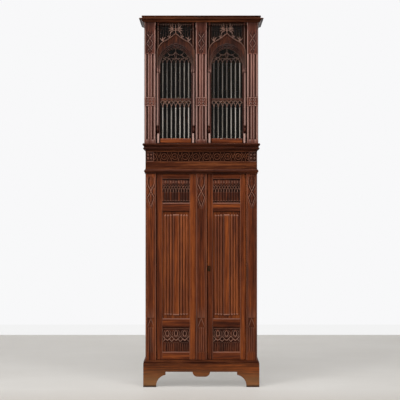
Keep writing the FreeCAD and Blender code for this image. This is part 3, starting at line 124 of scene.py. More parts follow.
def waxed_oak(name, along, dark="#2a0f06", stain="#5c2a13", pale="#8c481e", crest_light_and_wear="#9a7160", rough=0.4,
              wax=0.14, scuffed_and_floor_lit=0.0):
    """Fumed and waxed oak: brown streaks run with the grain, wax and dust sit in the carving, edges are
    rubbed.

    along is the axis of the grain and wax the strength of its shine. The piece's tone shifts a board's stain,
    at places as painted shade. A second mark darkens the ground with grime and painted shade and lightens
    raised parts with rubbing and painted highlights. Below a given height, in millimetres, brooms and shoes
    have rubbed the stain away and painted light bounced from the floor pales it; the last 16 mm is darker.
    """
    material, tree = blank(name)
    place = add(tree, "TexCoord").outputs["Object"]
    tone = add(tree, "Attribute", attribute_name="tone").outputs["Fac"]
    carve = add(tree, "Attribute", attribute_name="carve").outputs["Fac"]
    streaks = []
    # Widths and lengths in millimetres: patches of stain, broad figure, growth streaks, and pores, which are
    # drawn coarser than real so they show.
    for width, length in ((70, 240), (30, 700), (7, 260), (2, 60)):
        scale = [1 / (width * MM)] * 3
        scale["xyz".index(along)] = 1 / (length * MM)
        mapped = add(tree, "Mapping", {"Vector": place, "Scale": scale})
        streaks.append(add(tree, "TexNoise", {"Vector": mapped, "W": tone, "Scale": 1.0, "Detail": 3.0,
                                              "Roughness": 0.6}, noise_dimensions="4D"))
    patch, figure, growth, pore = streaks
    mixed = figure
    for share, streak in ((0.4, patch), (0.4, growth), (0.24, pore)):
        mixed = add(tree, "Mix", {0: share, 2: mixed, 3: streak})
    # The mean of several patterns is weak, so it is drawn out to twice its range about the middle.
    mixed = add(tree, "Math", {0: mixed, 1: 2.0, 2: -0.5}, operation="MULTIPLY_ADD")
    shifted = add(tree, "Math", {0: tone, 1: 0.16, 2: mixed}, operation="MULTIPLY_ADD")
    stained = add(tree, "ValToRGB", {"Fac": shifted})
    ramp = stained.color_ramp
    ramp.elements[0].position, ramp.elements[0].color = 0.3, linear(dark)
    ramp.elements[1].position, ramp.elements[1].color = 0.72, linear(pale)
    ramp.elements.new(0.5).color = linear(stain)
    # Painted shade, with grime and old wax: corners within about 9 mm, and the carved ground, are darkened.
    corner = add(tree, "AmbientOcclusion", {"Distance": 9 * MM}, samples=6).outputs["AO"]
    closed = add(tree, "MapRange", {0: corner, 1: 0.2, 2: 0.85, 3: 0.75, 4: 0.0})
    sunk = add(tree, "MapRange", {0: carve, 1: 0.0, 2: -1.0, 3: 0.0, 4: 0.8})
    soot_and_shade = add(tree, "Math", {0: closed, 1: sunk}, operation="MAXIMUM")
    # Painted highlights and rubbing: raised parts are lightened towards the crest colour.
    proud = add(tree, "MapRange", {0: carve, 1: 0.0, 2: 1.0, 3: 0.0, 4: 0.75})
    rubbed = add(tree, "Mix", {0: proud, 6: stained, 7: linear(crest_light_and_wear)}, data_type="RGBA").outputs[2]
    if scuffed_and_floor_lit:
        # Below the given height: rubbed oak and painted light bounced from the floor. The figure lifts a
        # height by about 30 mm, more or less, so that the pale edge is ragged.
        height = add(tree, "SeparateXYZ", {0: place}).outputs["Z"]
        ragged = add(tree, "Math", {0: figure, 1: 60 * MM, 2: height}, operation="MULTIPLY_ADD")
        bare_and_floor_lit = add(tree, "MapRange", {0: ragged, 1: (scuffed_and_floor_lit + 30) * MM, 2: 30 * MM, 3: 0.0, 4: 0.75})
        rubbed = add(tree, "Mix", {0: bare_and_floor_lit, 6: rubbed, 7: linear(BARE_AND_FLOOR_LIT_OAK)}, data_type="RGBA").outputs[2]
        # The last 16 mm above the floor is darkened.
        darkened_foot = add(tree, "MapRange", {0: height, 1: 16 * MM, 2: 6 * MM, 3: 0.0, 4: 0.85})
        soot_and_shade = add(tree, "Math", {0: soot_and_shade, 1: darkened_foot}, operation="MAXIMUM")
    sooted_and_shaded = add(tree, "Mix", {0: soot_and_shade, 6: rubbed, 7: linear(SOOT_AND_SHADE)}, data_type="RGBA").outputs[2]
    gloss = add(tree, "MapRange", {0: growth, 1: 0.3, 2: 0.7, 3: rough - 0.06, 4: rough + 0.08})
    bump = add(tree, "Bump", {"Height": pore, "Strength": 0.18, "Distance": 0.4 * MM})
    wood = add(tree, "BsdfPrincipled", {"Base Color": sooted_and_shaded, "Roughness": gloss, "Normal": bump, "IOR": 1.5,
                                        "Specular IOR Level": wax})
    add(tree, "OutputMaterial", {0: wood})
    return material


def old_glass(name):
    """Drawn window glass: clear, a little green and gently uneven, so reflections waver."""
    material, tree = blank(name)
    place = add(tree, "TexCoord").outputs["Object"]
    # Ripples of drawn glass are about 45 mm apart.
    ripple = add(tree, "TexNoise", {"Vector": place, "Scale": 1 / (45 * MM), "Detail": 1.0})
    bump = add(tree, "Bump", {"Height": ripple, "Strength": 0.05, "Distance": 0.8 * MM})
    pane = add(tree, "BsdfPrincipled", {"Base Color": linear("#dfe9e4"), "Roughness": 0.03, "IOR": 1.52,
                                        "Transmission Weight": 1.0, "Normal": bump})
    add(tree, "OutputMaterial", {0: pane})
    return material


def aged_metal(name, bright, dull, rough):
    """Hand-worked metal, rubbed bright on its high places and dull between."""
    material, tree = blank(name)
    place = add(tree, "TexCoord").outputs["Object"]
    # Hammer and file marks are about 5 mm across.
    mark = add(tree, "TexNoise", {"Vector": place, "Scale": 1 / (5 * MM), "Detail": 4.0})
    tint = add(tree, "Mix", {0: mark, 6: linear(dull), 7: linear(bright)}, data_type="RGBA").outputs[2]
    gloss = add(tree, "MapRange", {0: mark, 3: rough + 0.15, 4: rough - 0.1})
    bump = add(tree, "Bump", {"Height": mark, "Strength": 0.2, "Distance": 0.3 * MM})
    metal = add(tree, "BsdfPrincipled", {"Base Color": tint, "Metallic": 1.0, "Roughness": gloss,
                                         "Normal": bump})
    add(tree, "OutputMaterial", {0: metal})
    return material


OAK_UP = waxed_oak("waxed_oak_upright", "z")
OAK_LEVEL = waxed_oak("waxed_oak_level", "x")
OAK_DEEP = waxed_oak("waxed_oak_front_to_back", "y")
# Darker oak for the mouldings and the frieze board: painted shade for the shadow they sit in, shine weak.
OAK_MOULDING_SHADE = waxed_oak("oak_mouldings_painted_shade", "x", dark="#210d07", stain="#432012", pale="#7a4526",
                       crest_light_and_wear="#80543f", wax=0.04)
# The plinth's oak pales towards the floor: rubbed, and painted light bounced up from the floor.
OAK_PLINTH = waxed_oak("oak_plinth_rubbed_and_floor_lit", "x", stain="#55290f", rough=0.46, scuffed_and_floor_lit=110.0)
OAK_PLINTH_SIDE = waxed_oak("oak_plinth_side_rubbed_and_floor_lit", "y", stain="#55290f", rough=0.46, scuffed_and_floor_lit=110.0)
# The upper stage's oak, pinker and lighter with a pale crest colour: painted sheen of light on its wax.
OAK_SHEEN = waxed_oak("oak_upright_painted_sheen", "z", dark="#351810", stain="#552d22", pale="#7c4d3e",
                      crest_light_and_wear="#ad8f85", rough=0.36)
OAK_SHADED = waxed_oak("shaded_oak_tracery", "z", dark="#190b07", stain="#34180f", pale="#5a2f1b",
                       crest_light_and_wear="#8a6d60", rough=0.45)
# Near-black oak for the upper doors' frames and glazing beads: painted shade behind the colonnettes.
OAK_FRAME_SHADE = waxed_oak("oak_frames_painted_shade", "z", dark="#0c0503", stain="#1c0c07", pale="#36190d", rough=0.5,
                      wax=0.04)
# Grey, pale oak for the spindles: a painted sheen of the lamps on their round faces.
OAK_ROD_SHEEN = waxed_oak("turned_oak_rods_painted_sheen", "z", dark="#3d3733", stain="#68615a", pale="#a09890", rough=0.3)
OAK_RAW = waxed_oak("sawn_oak_backs", "z", dark="#2a1a10", stain="#46301f", pale="#5f452e", rough=0.62)
GLASS = old_glass("drawn_window_glass")
IRON = aged_metal("blackened_wrought_iron", "#4a4643", "#242120", 0.5)
BRASS = aged_metal("aged_cast_brass", "#463620", "#1d160c", 0.45)


def placed(name, data):
    """A new object in the scene."""
    made = bpy.data.objects.new(name, data)
    bpy.context.scene.collection.objects.link(made)
    return made


def cells(index):
    """The four corners of each cell in a grid of point numbers."""
    return np.stack([index[:-1, :-1], index[1:, :-1], index[1:, 1:], index[:-1, 1:]], axis=-1)


class Shell:
    """Grids of points that together make one piece."""

    def __init__(self):
        self.points, self.quads, self.tones, self.carves, self.finishes = [], [], [], [], []
        self.count = 0

    def add(self, points, quads, tone=0.0, carve=0.0, finish=0):
        """Takes points and the quads between them; finish is their material.

        tone colours the wood; a second mark paints shade, highlights and rubbing on it.
        """
        self.points.append(points)
        self.quads.append(quads + self.count)
        self.tones.append(np.broadcast_to(tone, len(points)))
        self.carves.append(np.broadcast_to(carve, len(points)))
        self.finishes.append(np.full(len(quads), finish))
        self.count += len(points)

    def grid(self, grid, around=False, tone=0.0, carve=0.0, **look):
        """A grid of points, closed on itself in its second direction where it goes around."""
        index = np.arange(grid.shape[0] * grid.shape[1]).reshape(grid.shape[:2])
        if around:
            index = np.concatenate([index, index[:, :1]], axis=1)
        tone, carve = (np.broadcast_to(mark, grid.shape[:2]).ravel() for mark in (tone, carve))
        self.add(grid.reshape(-1, 3), cells(index).reshape(-1, 4), tone=tone, carve=carve, **look)

    def make(self, name, body, nodes, finishes):
        """Merges the seams and poles, turns the faces outwards and fits the piece to the frame."""
        mesh = bpy.data.meshes.new(name)
        quads = np.concatenate(self.quads)
        mesh.vertices.add(self.count)
        mesh.vertices.foreach_set("co", (np.concatenate(self.points) * MM).astype(np.float32).ravel())
        mesh.loops.add(quads.size)
        mesh.loops.foreach_set("vertex_index", quads.astype(np.int32).ravel())
        mesh.polygons.add(len(quads))
        mesh.polygons.foreach_set("loop_start", np.arange(0, quads.size, 4, dtype=np.int32))
        mesh.polygons.foreach_set("material_index", np.concatenate(self.finishes).astype(np.int32))
        for mark, values in (("tone", self.tones), ("carve", self.carves)):
            layer = mesh.attributes.new(mark, "FLOAT", "POINT")
            layer.data.foreach_set("value", np.concatenate(values).astype(np.float32))
        mesh.update(calc_edges=True)
        shape = bmesh.new()
        shape.from_mesh(mesh)
        bmesh.ops.remove_doubles(shape, verts=shape.verts, dist=0.002 * MM)
        bmesh.ops.recalc_face_normals(shape, faces=shape.faces)
        shape.to_mesh(mesh)
        shape.free()
        mesh.shade_smooth()
        mesh.set_sharp_from_angle(angle=SMOOTH_ANGLE)
        for finish in finishes:
            mesh.materials.append(finish)
        made = placed(name, mesh)
        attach(made, body)
        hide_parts(*nodes)


def ridge(distance, half):
    """A round ridge: one along its line, falling as a half circle to nothing at half its width."""
    return np.sqrt(np.clip(1 - (distance / half) ** 2, 0, 1))


def plateau(distance, half, slope):
    """A flat top that slopes down to nothing at half its width."""
    return np.clip((half - distance) / slope, 0, 1)


def repeated(place, pitch):
    """A place in a repeating pattern, counted from the middle of its repeat."""
    return (place + pitch / 2) % pitch - pitch / 2


def leaning(rise, radius):
    """How far a bar that bends on an arc has leaned at a rise above its spring, and its slant's stretch."""
    run = np.sqrt(radius ** 2 - rise ** 2)
    slope = rise / run
    return radius - run, np.sqrt(1 + slope ** 2)


def near_line(x, z, start, end):
    """Distance from each place to a straight stroke."""
    run = np.subtract(end, start)
    share = np.clip(((x - start[0]) * run[0] + (z - start[1]) * run[1]) / (run @ run), 0, 1)
    return np.hypot(x - start[0] - share * run[0], z - start[1] - share * run[1])


def near_arc(x, z, centre, radius, first, last):
    """Distance from each place to an arc between two angles in degrees, counted anticlockwise."""
    middle, half = math.radians((first + last) / 2), math.radians((last - first) / 2)
    off_x, off_z = x - centre[0], z - centre[1]
    off = np.abs((np.arctan2(off_z, off_x) - middle + np.pi) % (2 * np.pi) - np.pi)
    ends = [np.hypot(off_x - radius * np.cos(end), off_z - radius * np.sin(end))
            for end in (middle - half, middle + half)]
    return np.where(off <= half, np.abs(np.hypot(off_x, off_z) - radius), np.minimum(*ends))


def softened(field, reach):
    """A field averaged over a square of places that many steps to each side."""
    for axis in (0, 1):
        edges = [(reach + 1, reach) if turn == axis else (0, 0) for turn in (0, 1)]
        total = np.moveaxis(np.pad(field, edges, mode="edge").cumsum(axis), axis, 0)
        field = np.moveaxis((total[2 * reach + 1:] - total[:-2 * reach - 1]) / (2 * reach + 1), 0, axis)
    return field


def slab(shell, x, z, depth, front, rear, deepest=20.0, crest=2.0, reach=5, tone=0.0, added_light_and_wear=0.0):
    """A carved board: its face lies a depth behind the front plane over a grid; walls and a back close it.

    What stands proud of the places around it gets painted highlights and rubbing, what lies under them
    painted shade and grime; the added marks of light and rubbing join them.
    """
    across, up = np.meshgrid(x, z, indexing="ij")
    face = np.stack([across, front + depth, up], axis=-1)
    block = np.pad(face, ((2, 2), (2, 2), (0, 0)), mode="edge")
    for line in (0, 1, -2, -1):
        block[line, :, 1] = rear
        block[:, line, 1] = rear
    for line in (0, -1):
        block[line] = (x.mean(), rear, z.mean())
        block[:, line] = (x.mean(), rear, z.mean())
    proud = softened(depth, reach) - depth
    # Painted highlights on what stands proud, painted shade in what lies deep.
    carve = np.clip(proud / crest - depth / deepest + added_light_and_wear, -1, 1)
    tone, carve = (np.pad(np.broadcast_to(mark, depth.shape), 2, mode="edge") for mark in (tone, carve))
    shell.grid(block, carve=carve, tone=tone)


def pierced(shell, middle, x, z, wood, front, rear, bevel, crest_light_and_wear, dark, tone=0.0):
    """A pierced board about a middle: the places where the field wood is positive, cut along its zero line.

    Grid points beside the line are moved onto it. The face slopes back by the bevel at its edges. Painted
    highlights and rubbing on its front, a given function of height, fall by 0.6 a millimetre towards the rear
    into painted shade on its sides, as far as dark.
    """
    across, up = np.meshgrid(x, z, indexing="ij")
    field = wood(across, up)
    slope_x, slope_z = np.gradient(field, x, z)
    steep = np.maximum(slope_x ** 2 + slope_z ** 2, 0.1)
    edge = np.abs(field) < 0.75 * (x[1] - x[0])
    across = across - np.where(edge, field * slope_x / steep, 0)
    up = up - np.where(edge, field * slope_z / steep, 0)
    level = np.where(edge, 0, field)
    solid = level[:-1, :-1] + level[1:, :-1] + level[1:, 1:] + level[:-1, 1:] > 0
    drop = bevel * (1 - np.clip(level / bevel, 0, 1))
    face = np.stack([across, front + drop, up], axis=-1).reshape(-1, 3)
    back = np.stack([across, np.full_like(across, rear), up], axis=-1).reshape(-1, 3)
    index = np.arange(across.size).reshape(across.shape)
    quads = cells(index)[solid]
    kept = np.pad(solid, 1)
    level_edge = kept[1:-1, :-1] != kept[1:-1, 1:]
    upright_edge = kept[:-1, 1:-1] != kept[1:, 1:-1]
    first = np.concatenate([index[:-1][level_edge], index[:, :-1][upright_edge]])
    second = np.concatenate([index[1:][level_edge], index[:, 1:][upright_edge]])
    walls = np.stack([first, second, second + across.size, first + across.size], axis=-1)
    quads = np.concatenate([quads, quads[:, ::-1] + across.size, walls])
    used, quads = np.unique(quads, return_inverse=True)
    points = np.concatenate([face, back])[used]
    # Painted highlights on the front edges, painted shade down the sides towards the rear.
    crest = crest_light_and_wear(points[:, 2])
    carve = np.clip(crest - 0.6 * (points[:, 1] - front), dark, crest)
    shell.add(points + (middle, 0, 0), quads.reshape(-1, 4), tone=tone, carve=carve)


def capped(shell, grid, **look):
    """A run of closed sections, its two ends closed by fans to their middles."""
    ends = [np.broadcast_to(grid[end].mean(axis=0), grid[:1].shape) for end in (0, -1)]
    shell.grid(np.concatenate([ends[0], grid, ends[1]]), around=True, **look)


def turned(shell, x, y, profile, sides, lobes=0, cut=0.0, **look):
    """A turned piece: (height, radius) pairs about an upright axis; a cosine of the angle cuts its lobes."""
    height, radius = np.array(profile, float).T
    angle = np.linspace(0, 2 * np.pi, sides, endpoint=False)
    reach = radius[:, None] * (1 + cut * np.cos(lobes * angle))
    grid = np.stack([x + reach * np.cos(angle), y + reach * np.sin(angle),
                     np.broadcast_to(height[:, None], reach.shape)], axis=-1)
    capped(shell, grid, **look)


def leaf(shell, root, tip, width, thick, front, bend=0.0, curl=0.0, carve=0.0, **look):
    """A carved leaf: an oval section that swells in two lobes from root to tip, on a line bent by a sine.

    The tip curls forward by the square of its distance along the leaf. Painted shade darkens the flanks and a
    painted highlight lightens the back.
    """
    share = np.linspace(0, 1, 15)
    root, run = np.array(root, float), np.subtract(tip, root).astype(float)
    side = np.array([-run[1], run[0]]) / np.hypot(*run)
    line = root + share[:, None] * run + bend * np.sin(np.pi * share)[:, None] * side
    swell = np.sin(np.pi * share ** 0.85) ** 0.7 * (1 + 0.24 * np.cos(5 * np.pi * share))
    angle = np.linspace(0, 2 * np.pi, 10, endpoint=False)
    lift = front - thick / 2 - curl * share ** 2
    grid = np.empty((len(share), len(angle), 3))
    grid[..., 0] = line[:, :1] + side[0] * width / 2 * np.outer(swell, np.cos(angle))
    grid[..., 1] = lift[:, None] - thick / 2 * np.outer(swell, np.sin(angle))
    grid[..., 2] = line[:, 1:] + side[1] * width / 2 * np.outer(swell, np.cos(angle))
    shell.grid(grid, around=True, carve=carve + 0.8 * (np.sin(angle) - 0.8), **look)


def spray(shell, root, tip, front, bend=0.0, **look):
    """Three blades fanned from one root: the middle one to the tip, the others shorter and turned aside."""
    run = np.subtract(tip, root)
    far = np.hypot(*run)
    for turn, share in ((0.0, 1.0), (0.75, 0.72), (-0.75, 0.72)):
        lean = np.array([run[0] * math.cos(turn) - run[1] * math.sin(turn),
                         run[0] * math.sin(turn) + run[1] * math.cos(turn)])
        start = np.array(root) + run * (0.0 if turn == 0 else 0.28)
        leaf(shell, start, start + lean * share, 0.15 * far + 1.5, 5.0, front, bend=bend, curl=4.0, **look)


def rows(low, high, carved, fine=1.1, plain=16.0):
    """Heights of a grid: fine steps in the carved stretches and long ones between them."""
    stretches = [np.arange(low, high, plain), [high]]
    stretches += [np.arange(start, stop, fine) for start, stop in carved]
    return np.unique(np.round(np.concatenate(stretches), 1))


def crossed(u, z, heights, places):
    """Two mirrored strands that weave: their distance to each place, steep stretches allowed for."""
    strand = np.interp(z, heights, places)
    slope = np.interp(z, heights[:-1] + np.diff(heights) / 2, np.diff(places) / np.diff(heights))
    lean = np.sqrt(1 + slope ** 2)
    return np.minimum(np.abs(u - strand), np.abs(u + strand)) / lean


def almond(u, z, middle, half_width, half_height):
    """A pointed leaf boss: one along its middle, nothing at its outline."""
    reach = half_width * np.clip(1 - ((z - middle) / half_height) ** 2, 0, 1)
    return np.sqrt(np.clip(1 - (u / np.maximum(reach, 0.01)) ** 2, 0, 1)) * (reach > 0.2)


def strand_panel(u, z, base, top, half, weave, bosses, sunk):
    """A sunk panel with two crossing strands and leaf bosses in their spaces: its depth.

    weave lists (share of the height, share of the half width) where a strand turns or crosses, and bosses
    (share of the height, half width, half height) of the leaves, as shares too.
    """
    tall = top - base
    shares, places = np.array(weave).T
    strands = ridge(crossed(u, z, base + tall * shares, half * places), 3.2)
    leaves = [almond(u, z, base + share * tall, half * wide, high * tall) for share, wide, high in bosses]
    beside = [almond(np.abs(u) - half, z, base + share * tall, half * 0.5, 0.11 * tall)
              for share, place in weave if place == 0]
    height = np.maximum(strands, 0.55 * np.maximum.reduce(leaves + beside))
    taper = half * np.clip((z - base + 6) / (0.3 * tall), 0, 1)
    margin = np.minimum.reduce([taper + 5 - np.abs(u), (top - z) / 3 + 0 * u])
    ground = sunk * np.clip(margin / 6.0, 0, 1)
    return np.maximum(ground - sunk * height, 0.0)


def lower_upright_depth(u, z, base, top, half):
    """Lower pilasters and strip: strands at the head, a plain beaded shaft, reeds and a plain block below."""
    inner, bead_inset, bead_sunk = half - 12, 9, 1.3
    block_top, reed_base, reed_top, crown_top = base + 40, base + 50, base + 194, base + 252
    reed_pitch, reed_half, reed_sunk, crown_sunk, strand = 13, 6.4, 2.4, 2.0, 3.2
    depth = bead_sunk * ridge(np.abs(u) - half + bead_inset, 1.6)
    depth = np.where(z < block_top, 0.0, depth)
    head = strand_panel(u, z, top - 200, top - 14, inner,
                        [(0.0, 0.0), (0.31, -1.0), (0.51, 0.0), (0.75, 1.0), (1.0, 1.0)],
                        [(0.3, 0.42, 0.15), (0.79, 0.5, 0.17)], sunk=3.6)
    depth = np.where((z > top - LOWER_HEAD) & (np.abs(u) < inner + 5), head, depth)
    reeds = reed_sunk * (1 - ridge(np.abs(repeated(u, reed_pitch)), reed_half))
    reeded = (z > reed_base) & (z < reed_top) & (np.abs(u) < inner)
    depth = np.where(reeded, reeds, depth)
    crest = ridge(crossed(u, z, np.array([base + 196, base + 248]), np.array([inner, 0.0])), strand)
    crowned = (z >= reed_top) & (z < crown_top) & (np.abs(u) < inner)
    depth = np.where(crowned, crown_sunk - crown_sunk * crest, depth)
    return depth + EASED_EDGE * (1 - plateau(np.abs(u), half, EASED_EDGE))


def upper_upright_depth(u, z, base, half):
    """Upper pilasters and strip: a leafy head, reeds in two lengths and a block of four rosettes between."""
    foot_top, block_base, block_top, head_top = base + 22, base + 222, base + 272, base + 690
    reed_place, reed_half, reed_sunk = 6.2, 7.0, 6.5
    edge = ridge(np.abs(u) - (half - 7), 6.5)
    beads = [edge, 0.95 * ridge(np.abs(np.abs(u) - reed_place), reed_half)]
    reeds = reed_sunk * (1 - np.maximum.reduce(beads))
    reeded = ((z > foot_top) & (z < block_base)) | ((z > block_top) & (z < base + UPPER_HEAD))
    depth = np.where(reeded, reeds, 0.0)
    head = strand_panel(u, z, base + 532, base + 668, half - 15,
                        [(0.0, -0.3), (0.08, -1.0), (0.235, 0.0), (0.44, 1.0), (0.67, 0.0), (0.88, -1.0),
                         (1.0, -0.6)],
                        [(0.08, 0.4, 0.07), (0.44, 0.5, 0.12), (0.88, 0.5, 0.11)], sunk=4.0)
    in_head = (z >= base + UPPER_HEAD) & (z < head_top)
    depth = np.where(in_head, np.where(np.abs(u) < half - BEAD_BAND, head, reed_sunk * (1 - edge)), depth)
    middle, rosette_u, rosette_z = base + 247, 11.5, 10
    off_u, off_z = np.abs(u) - rosette_u, np.abs(z - middle) - rosette_z
    far, angle = np.hypot(off_u, off_z), np.arctan2(off_z, off_u)
    petals = ridge(far, 9.5 * (0.8 + 0.2 * np.abs(np.cos(2 * angle))))
    rosettes = 1.6 - 1.2 * petals + 5.5 * plateau(far, 4.8, 2.2)
    block = (np.abs(u) < 25) & (np.abs(z - middle) < 22)
    depth = np.where(block, rosettes, depth)
    return depth + EASED_EDGE * (1 - plateau(np.abs(u), half, EASED_EDGE))


def upright(name, node, body, finish, depth, marks, carved, **look):
    """One pilaster or strip, its face carved by a depth over the place on it; marks give its tone, and its
    painted light and rubbing.

    marks takes whether a place is on the edge bead, and its height.
    """
    low, high = extent(node)
    half = (high[0] - low[0]) / 2
    x = np.linspace(low[0], high[0], int(2 * half / 0.8))
    z = rows(low[2], high[2], carved)
    u, up = np.meshgrid(x - (low[0] + high[0]) / 2, z, indexing="ij")
    shell = Shell()
    tone, added_light_and_wear = marks(np.abs(u) > half - BEAD_BAND, up)
    slab(shell, x, z, depth(u, up, half), low[1], high[1], reach=7, tone=tone, added_light_and_wear=added_light_and_wear, **look)
    shell.make(name, body, [node], [finish])


def uprights():
    """The four pilasters on the case and the two strips on the left leaves."""
    base, top = extent("lower_left_pilaster")[0][2], extent("lower_left_pilaster")[1][2]
    foot = extent("upper_left_pilaster")[0][2]

    def lower_depth(u, z, half):
        return lower_upright_depth(u, z, base, top, half)

    def upper_depth(u, z, half):
        return upper_upright_depth(u, z, foot, half)

    def lower_marks(_, z):
        return -0.1 - 0.2 * (z > top - LOWER_HEAD), 0.0

    def upper_marks(edge, z):
        # The upper carved heads are darkened with painted shade, less of it on their edge beads.
        in_head = z > foot + UPPER_HEAD
        return -0.35 * in_head, np.where(edge, -0.2, -0.4) * in_head

    lower_zones = [(base + 34, base + 256), (top - 210, top)]
    upper_zones = [(foot + 16, foot + 34), (foot + 210, foot + 284), (foot + 518, foot + 676)]
    stages = (("lower", OAK_UP, lower_depth, lower_marks, lower_zones, {"crest": 2.3}),
              ("upper", OAK_SHEEN, upper_depth, upper_marks, upper_zones, {"deepest": 14.0, "crest": 2.5}))
    for stage, finish, depth, marks, zones, look in stages:
        for piece, body in (("left_pilaster", "case"), ("right_pilaster", "case"),
                            ("centre_strip", f"{stage}_left_door")):
            upright(f"carved_{stage}_{piece}", f"{stage}_{piece}", body, finish, depth, marks, zones, **look)


def moulding(name, node, half, face, section, tone, carve=0.0):
    """A moulding round the front and both sides, mitred at the corners.

    Each point (out, height) of its section runs at that distance outside the case on all three sides.
    """
    out, height = np.array(section, float).T
    stations = [(-1, BACK), (-1, face), (1, face), (1, BACK)]
    grid = np.empty((4, len(out), 3))
    for index, (side, y) in enumerate(stations):
        grid[index, :, 0] = side * (half + out)
        grid[index, :, 1] = y - (out if y == face else 0)
        grid[index, :, 2] = height
    shell = Shell()
    capped(shell, grid, tone=tone, carve=carve)
    shell.make(name, "case", [node], [OAK_MOULDING_SHADE])


def moulding_room(node, half):
    """A moulding's foot and head, and how far it stands out from the case."""
    low, high = extent(node)
    return low[2], high[2], high[0] - half


def arc_section(centre, radius, first, last, count=9):
    """Points on an arc of a moulding's section, angles in degrees."""
    angle = np.radians(np.linspace(first, last, count))
    return np.stack([centre[0] + radius * np.cos(angle), centre[1] + radius * np.sin(angle)], axis=-1)


def mouldings():
    """Cornice, waist moulding, frieze bead and plinth moulding."""
    lower_half, upper_half = extent("lower_right_pilaster")[1][0], extent("upper_right_pilaster")[1][0]
    base, top, reach = moulding_room("cornice", upper_half)
    lip = base + 17
    cove = arc_section((reach + 4, base - 9), reach - 3, 165, 100)
    nose = [(reach, lip), (reach, lip + 3.5), (reach - 16, lip + 7), (reach - 18, lip + 7.5)]
    roll = arc_section((reach - 18.5, top - 4), 4.0, -60, 90, 8)
    section = np.concatenate([[(-8, base), (2.0, base)], cove, nose, roll, [(-8, top)]])
    # Painted shade darkens the cove under the lip and the top roll, and a painted highlight lightens the
    # lip's edge.
    painted_light = [0.0, -0.3] + list(np.linspace(0.0, -0.6, len(cove))) + [-0.5, 0.7, -0.3, -0.8] + [-0.6] * 9
    moulding("cornice_moulding", "cornice", upper_half, UPPER_FACE, section, tone=-0.3, carve=np.array(painted_light))
    base, top, reach = moulding_room("waist_moulding", upper_half)
    section = np.concatenate([[(-12, base), (reach - 9, base + 0.5)],
                              arc_section((reach - 9.5, base + 9.5), 5.5, -75, 75, 8),
                              [(reach - 9, base + 18)], arc_section((reach + 1, base + 19), 9.5, 180, 108, 6),
                              [(reach - 1.5, base + 29)],
                              arc_section((reach - 3.5, base + 34), 3.5, -55, 70, 8),
                              [(reach - 4, top), (-12, top)]])
    moulding("waist_moulding_run", "waist_moulding", upper_half, UPPER_FACE, section, tone=-0.5)
    base, top, reach = moulding_room("frieze_moulding", lower_half)
    section = np.concatenate([[(-6, base + 0.3), (reach - 5, base + 0.3), (reach - 4, base + 3)],
                              arc_section((-2.0, base + 15), reach + 2.0, -62, 62, 11),
                              [(1.0, top - 3), (1.0, top), (-6, top)]])
    moulding("frieze_bead", "frieze_moulding", lower_half, LOWER_FACE, section, tone=-0.2)
    base, top, reach = moulding_room("plinth_moulding", lower_half)
    section = np.concatenate([[(-4, base), (reach, base), (reach, base + 3), (reach - 3, base + 5)],
                              arc_section((reach - 5.5, base + 9), 4.2, -60, 80, 8),
                              [(1.5, top - 1.5), (-4, top)]])
    moulding("plinth_ogee", "plinth_moulding", lower_half, LOWER_FACE, section, tone=0.3)


def frieze_depth(x, z, middle):
    """Carved frieze: rings 62.8 mm apart with a whirl of three in each, curved daggers crossing between."""
    pitch, ring_radius, strand, border_half, sunk = 62.8, 17.5, 2.6, 30.0, 4.8
    u, v = x % pitch - pitch / 2, z - middle
    far, angle = np.hypot(u, v), np.arctan2(v, u)
    ring = ridge(np.abs(far - ring_radius), 3.0)
    whirl = ridge(np.abs(np.sin(1.5 * (angle + far / 11))) * far / 1.5, strand) * (far < ring_radius - 0.5)
    boss = ridge(far, 4.5)
    beside = pitch / 2 - np.abs(u)
    bow = 11.5 * np.abs(np.sin(np.pi * v / 46))
    daggers = ridge(np.abs(beside - bow), strand) * (far > ring_radius + 0.5)
    border = plateau(border_half - np.abs(v), 3.0, 1.5)
    height = np.maximum.reduce([ring, 0.8 * whirl, boss, daggers, border])
    return sunk * (1 - height)


def end_block_depth(u, v):
    """End block: a sunk square with four round bosses."""
    half_width, half_height, boss_u, boss_v, sunk = 25.0, 31.0, 10, 11, 4.6
    border = np.maximum(plateau(half_width - np.abs(u), 4.5, 1.5), plateau(half_height - np.abs(v), 6.0, 1.5))
    far = np.hypot(np.abs(u) - boss_u, np.abs(v) - boss_v)
    bosses = 0.95 * ridge(far, 8.0) - 0.5 * plateau(far, 2.2, 1.0)
    return sunk * (1 - np.maximum(border, bosses))


def frieze():
    """The carved strip between the stages and its two end blocks."""
    low, high = extent("frieze_tracery")
    x, z = np.linspace(low[0], high[0], 620), np.linspace(low[2], high[2], 72)
    across, up = np.meshgrid(x, z, indexing="ij")
    shell = Shell()
    depth = frieze_depth(across, up, (low[2] + high[2]) / 2)
    slab(shell, x, z, depth, low[1], high[1], deepest=7.0, crest=4.5, tone=-0.2)
    shell.make("carved_frieze", "case", ["frieze_tracery"], [OAK_MOULDING_SHADE])
    shell = Shell()
    block_low, block_high = extent("frieze_end_blocks")
    wide = block_high[0] - high[0]
    for side in (-1, 1):
        middle = side * (high[0] + wide / 2)
        x = np.linspace(middle - wide / 2, middle + wide / 2, 52)
        across, up = np.meshgrid(x - middle, z - z.mean(), indexing="ij")
        slab(shell, x, z, end_block_depth(across, up), block_low[1], block_high[1], deepest=14.0, crest=3.0,
             tone=-1.0)
    shell.make("frieze_rosette_blocks", "case", ["frieze_end_blocks"], [OAK_UP])


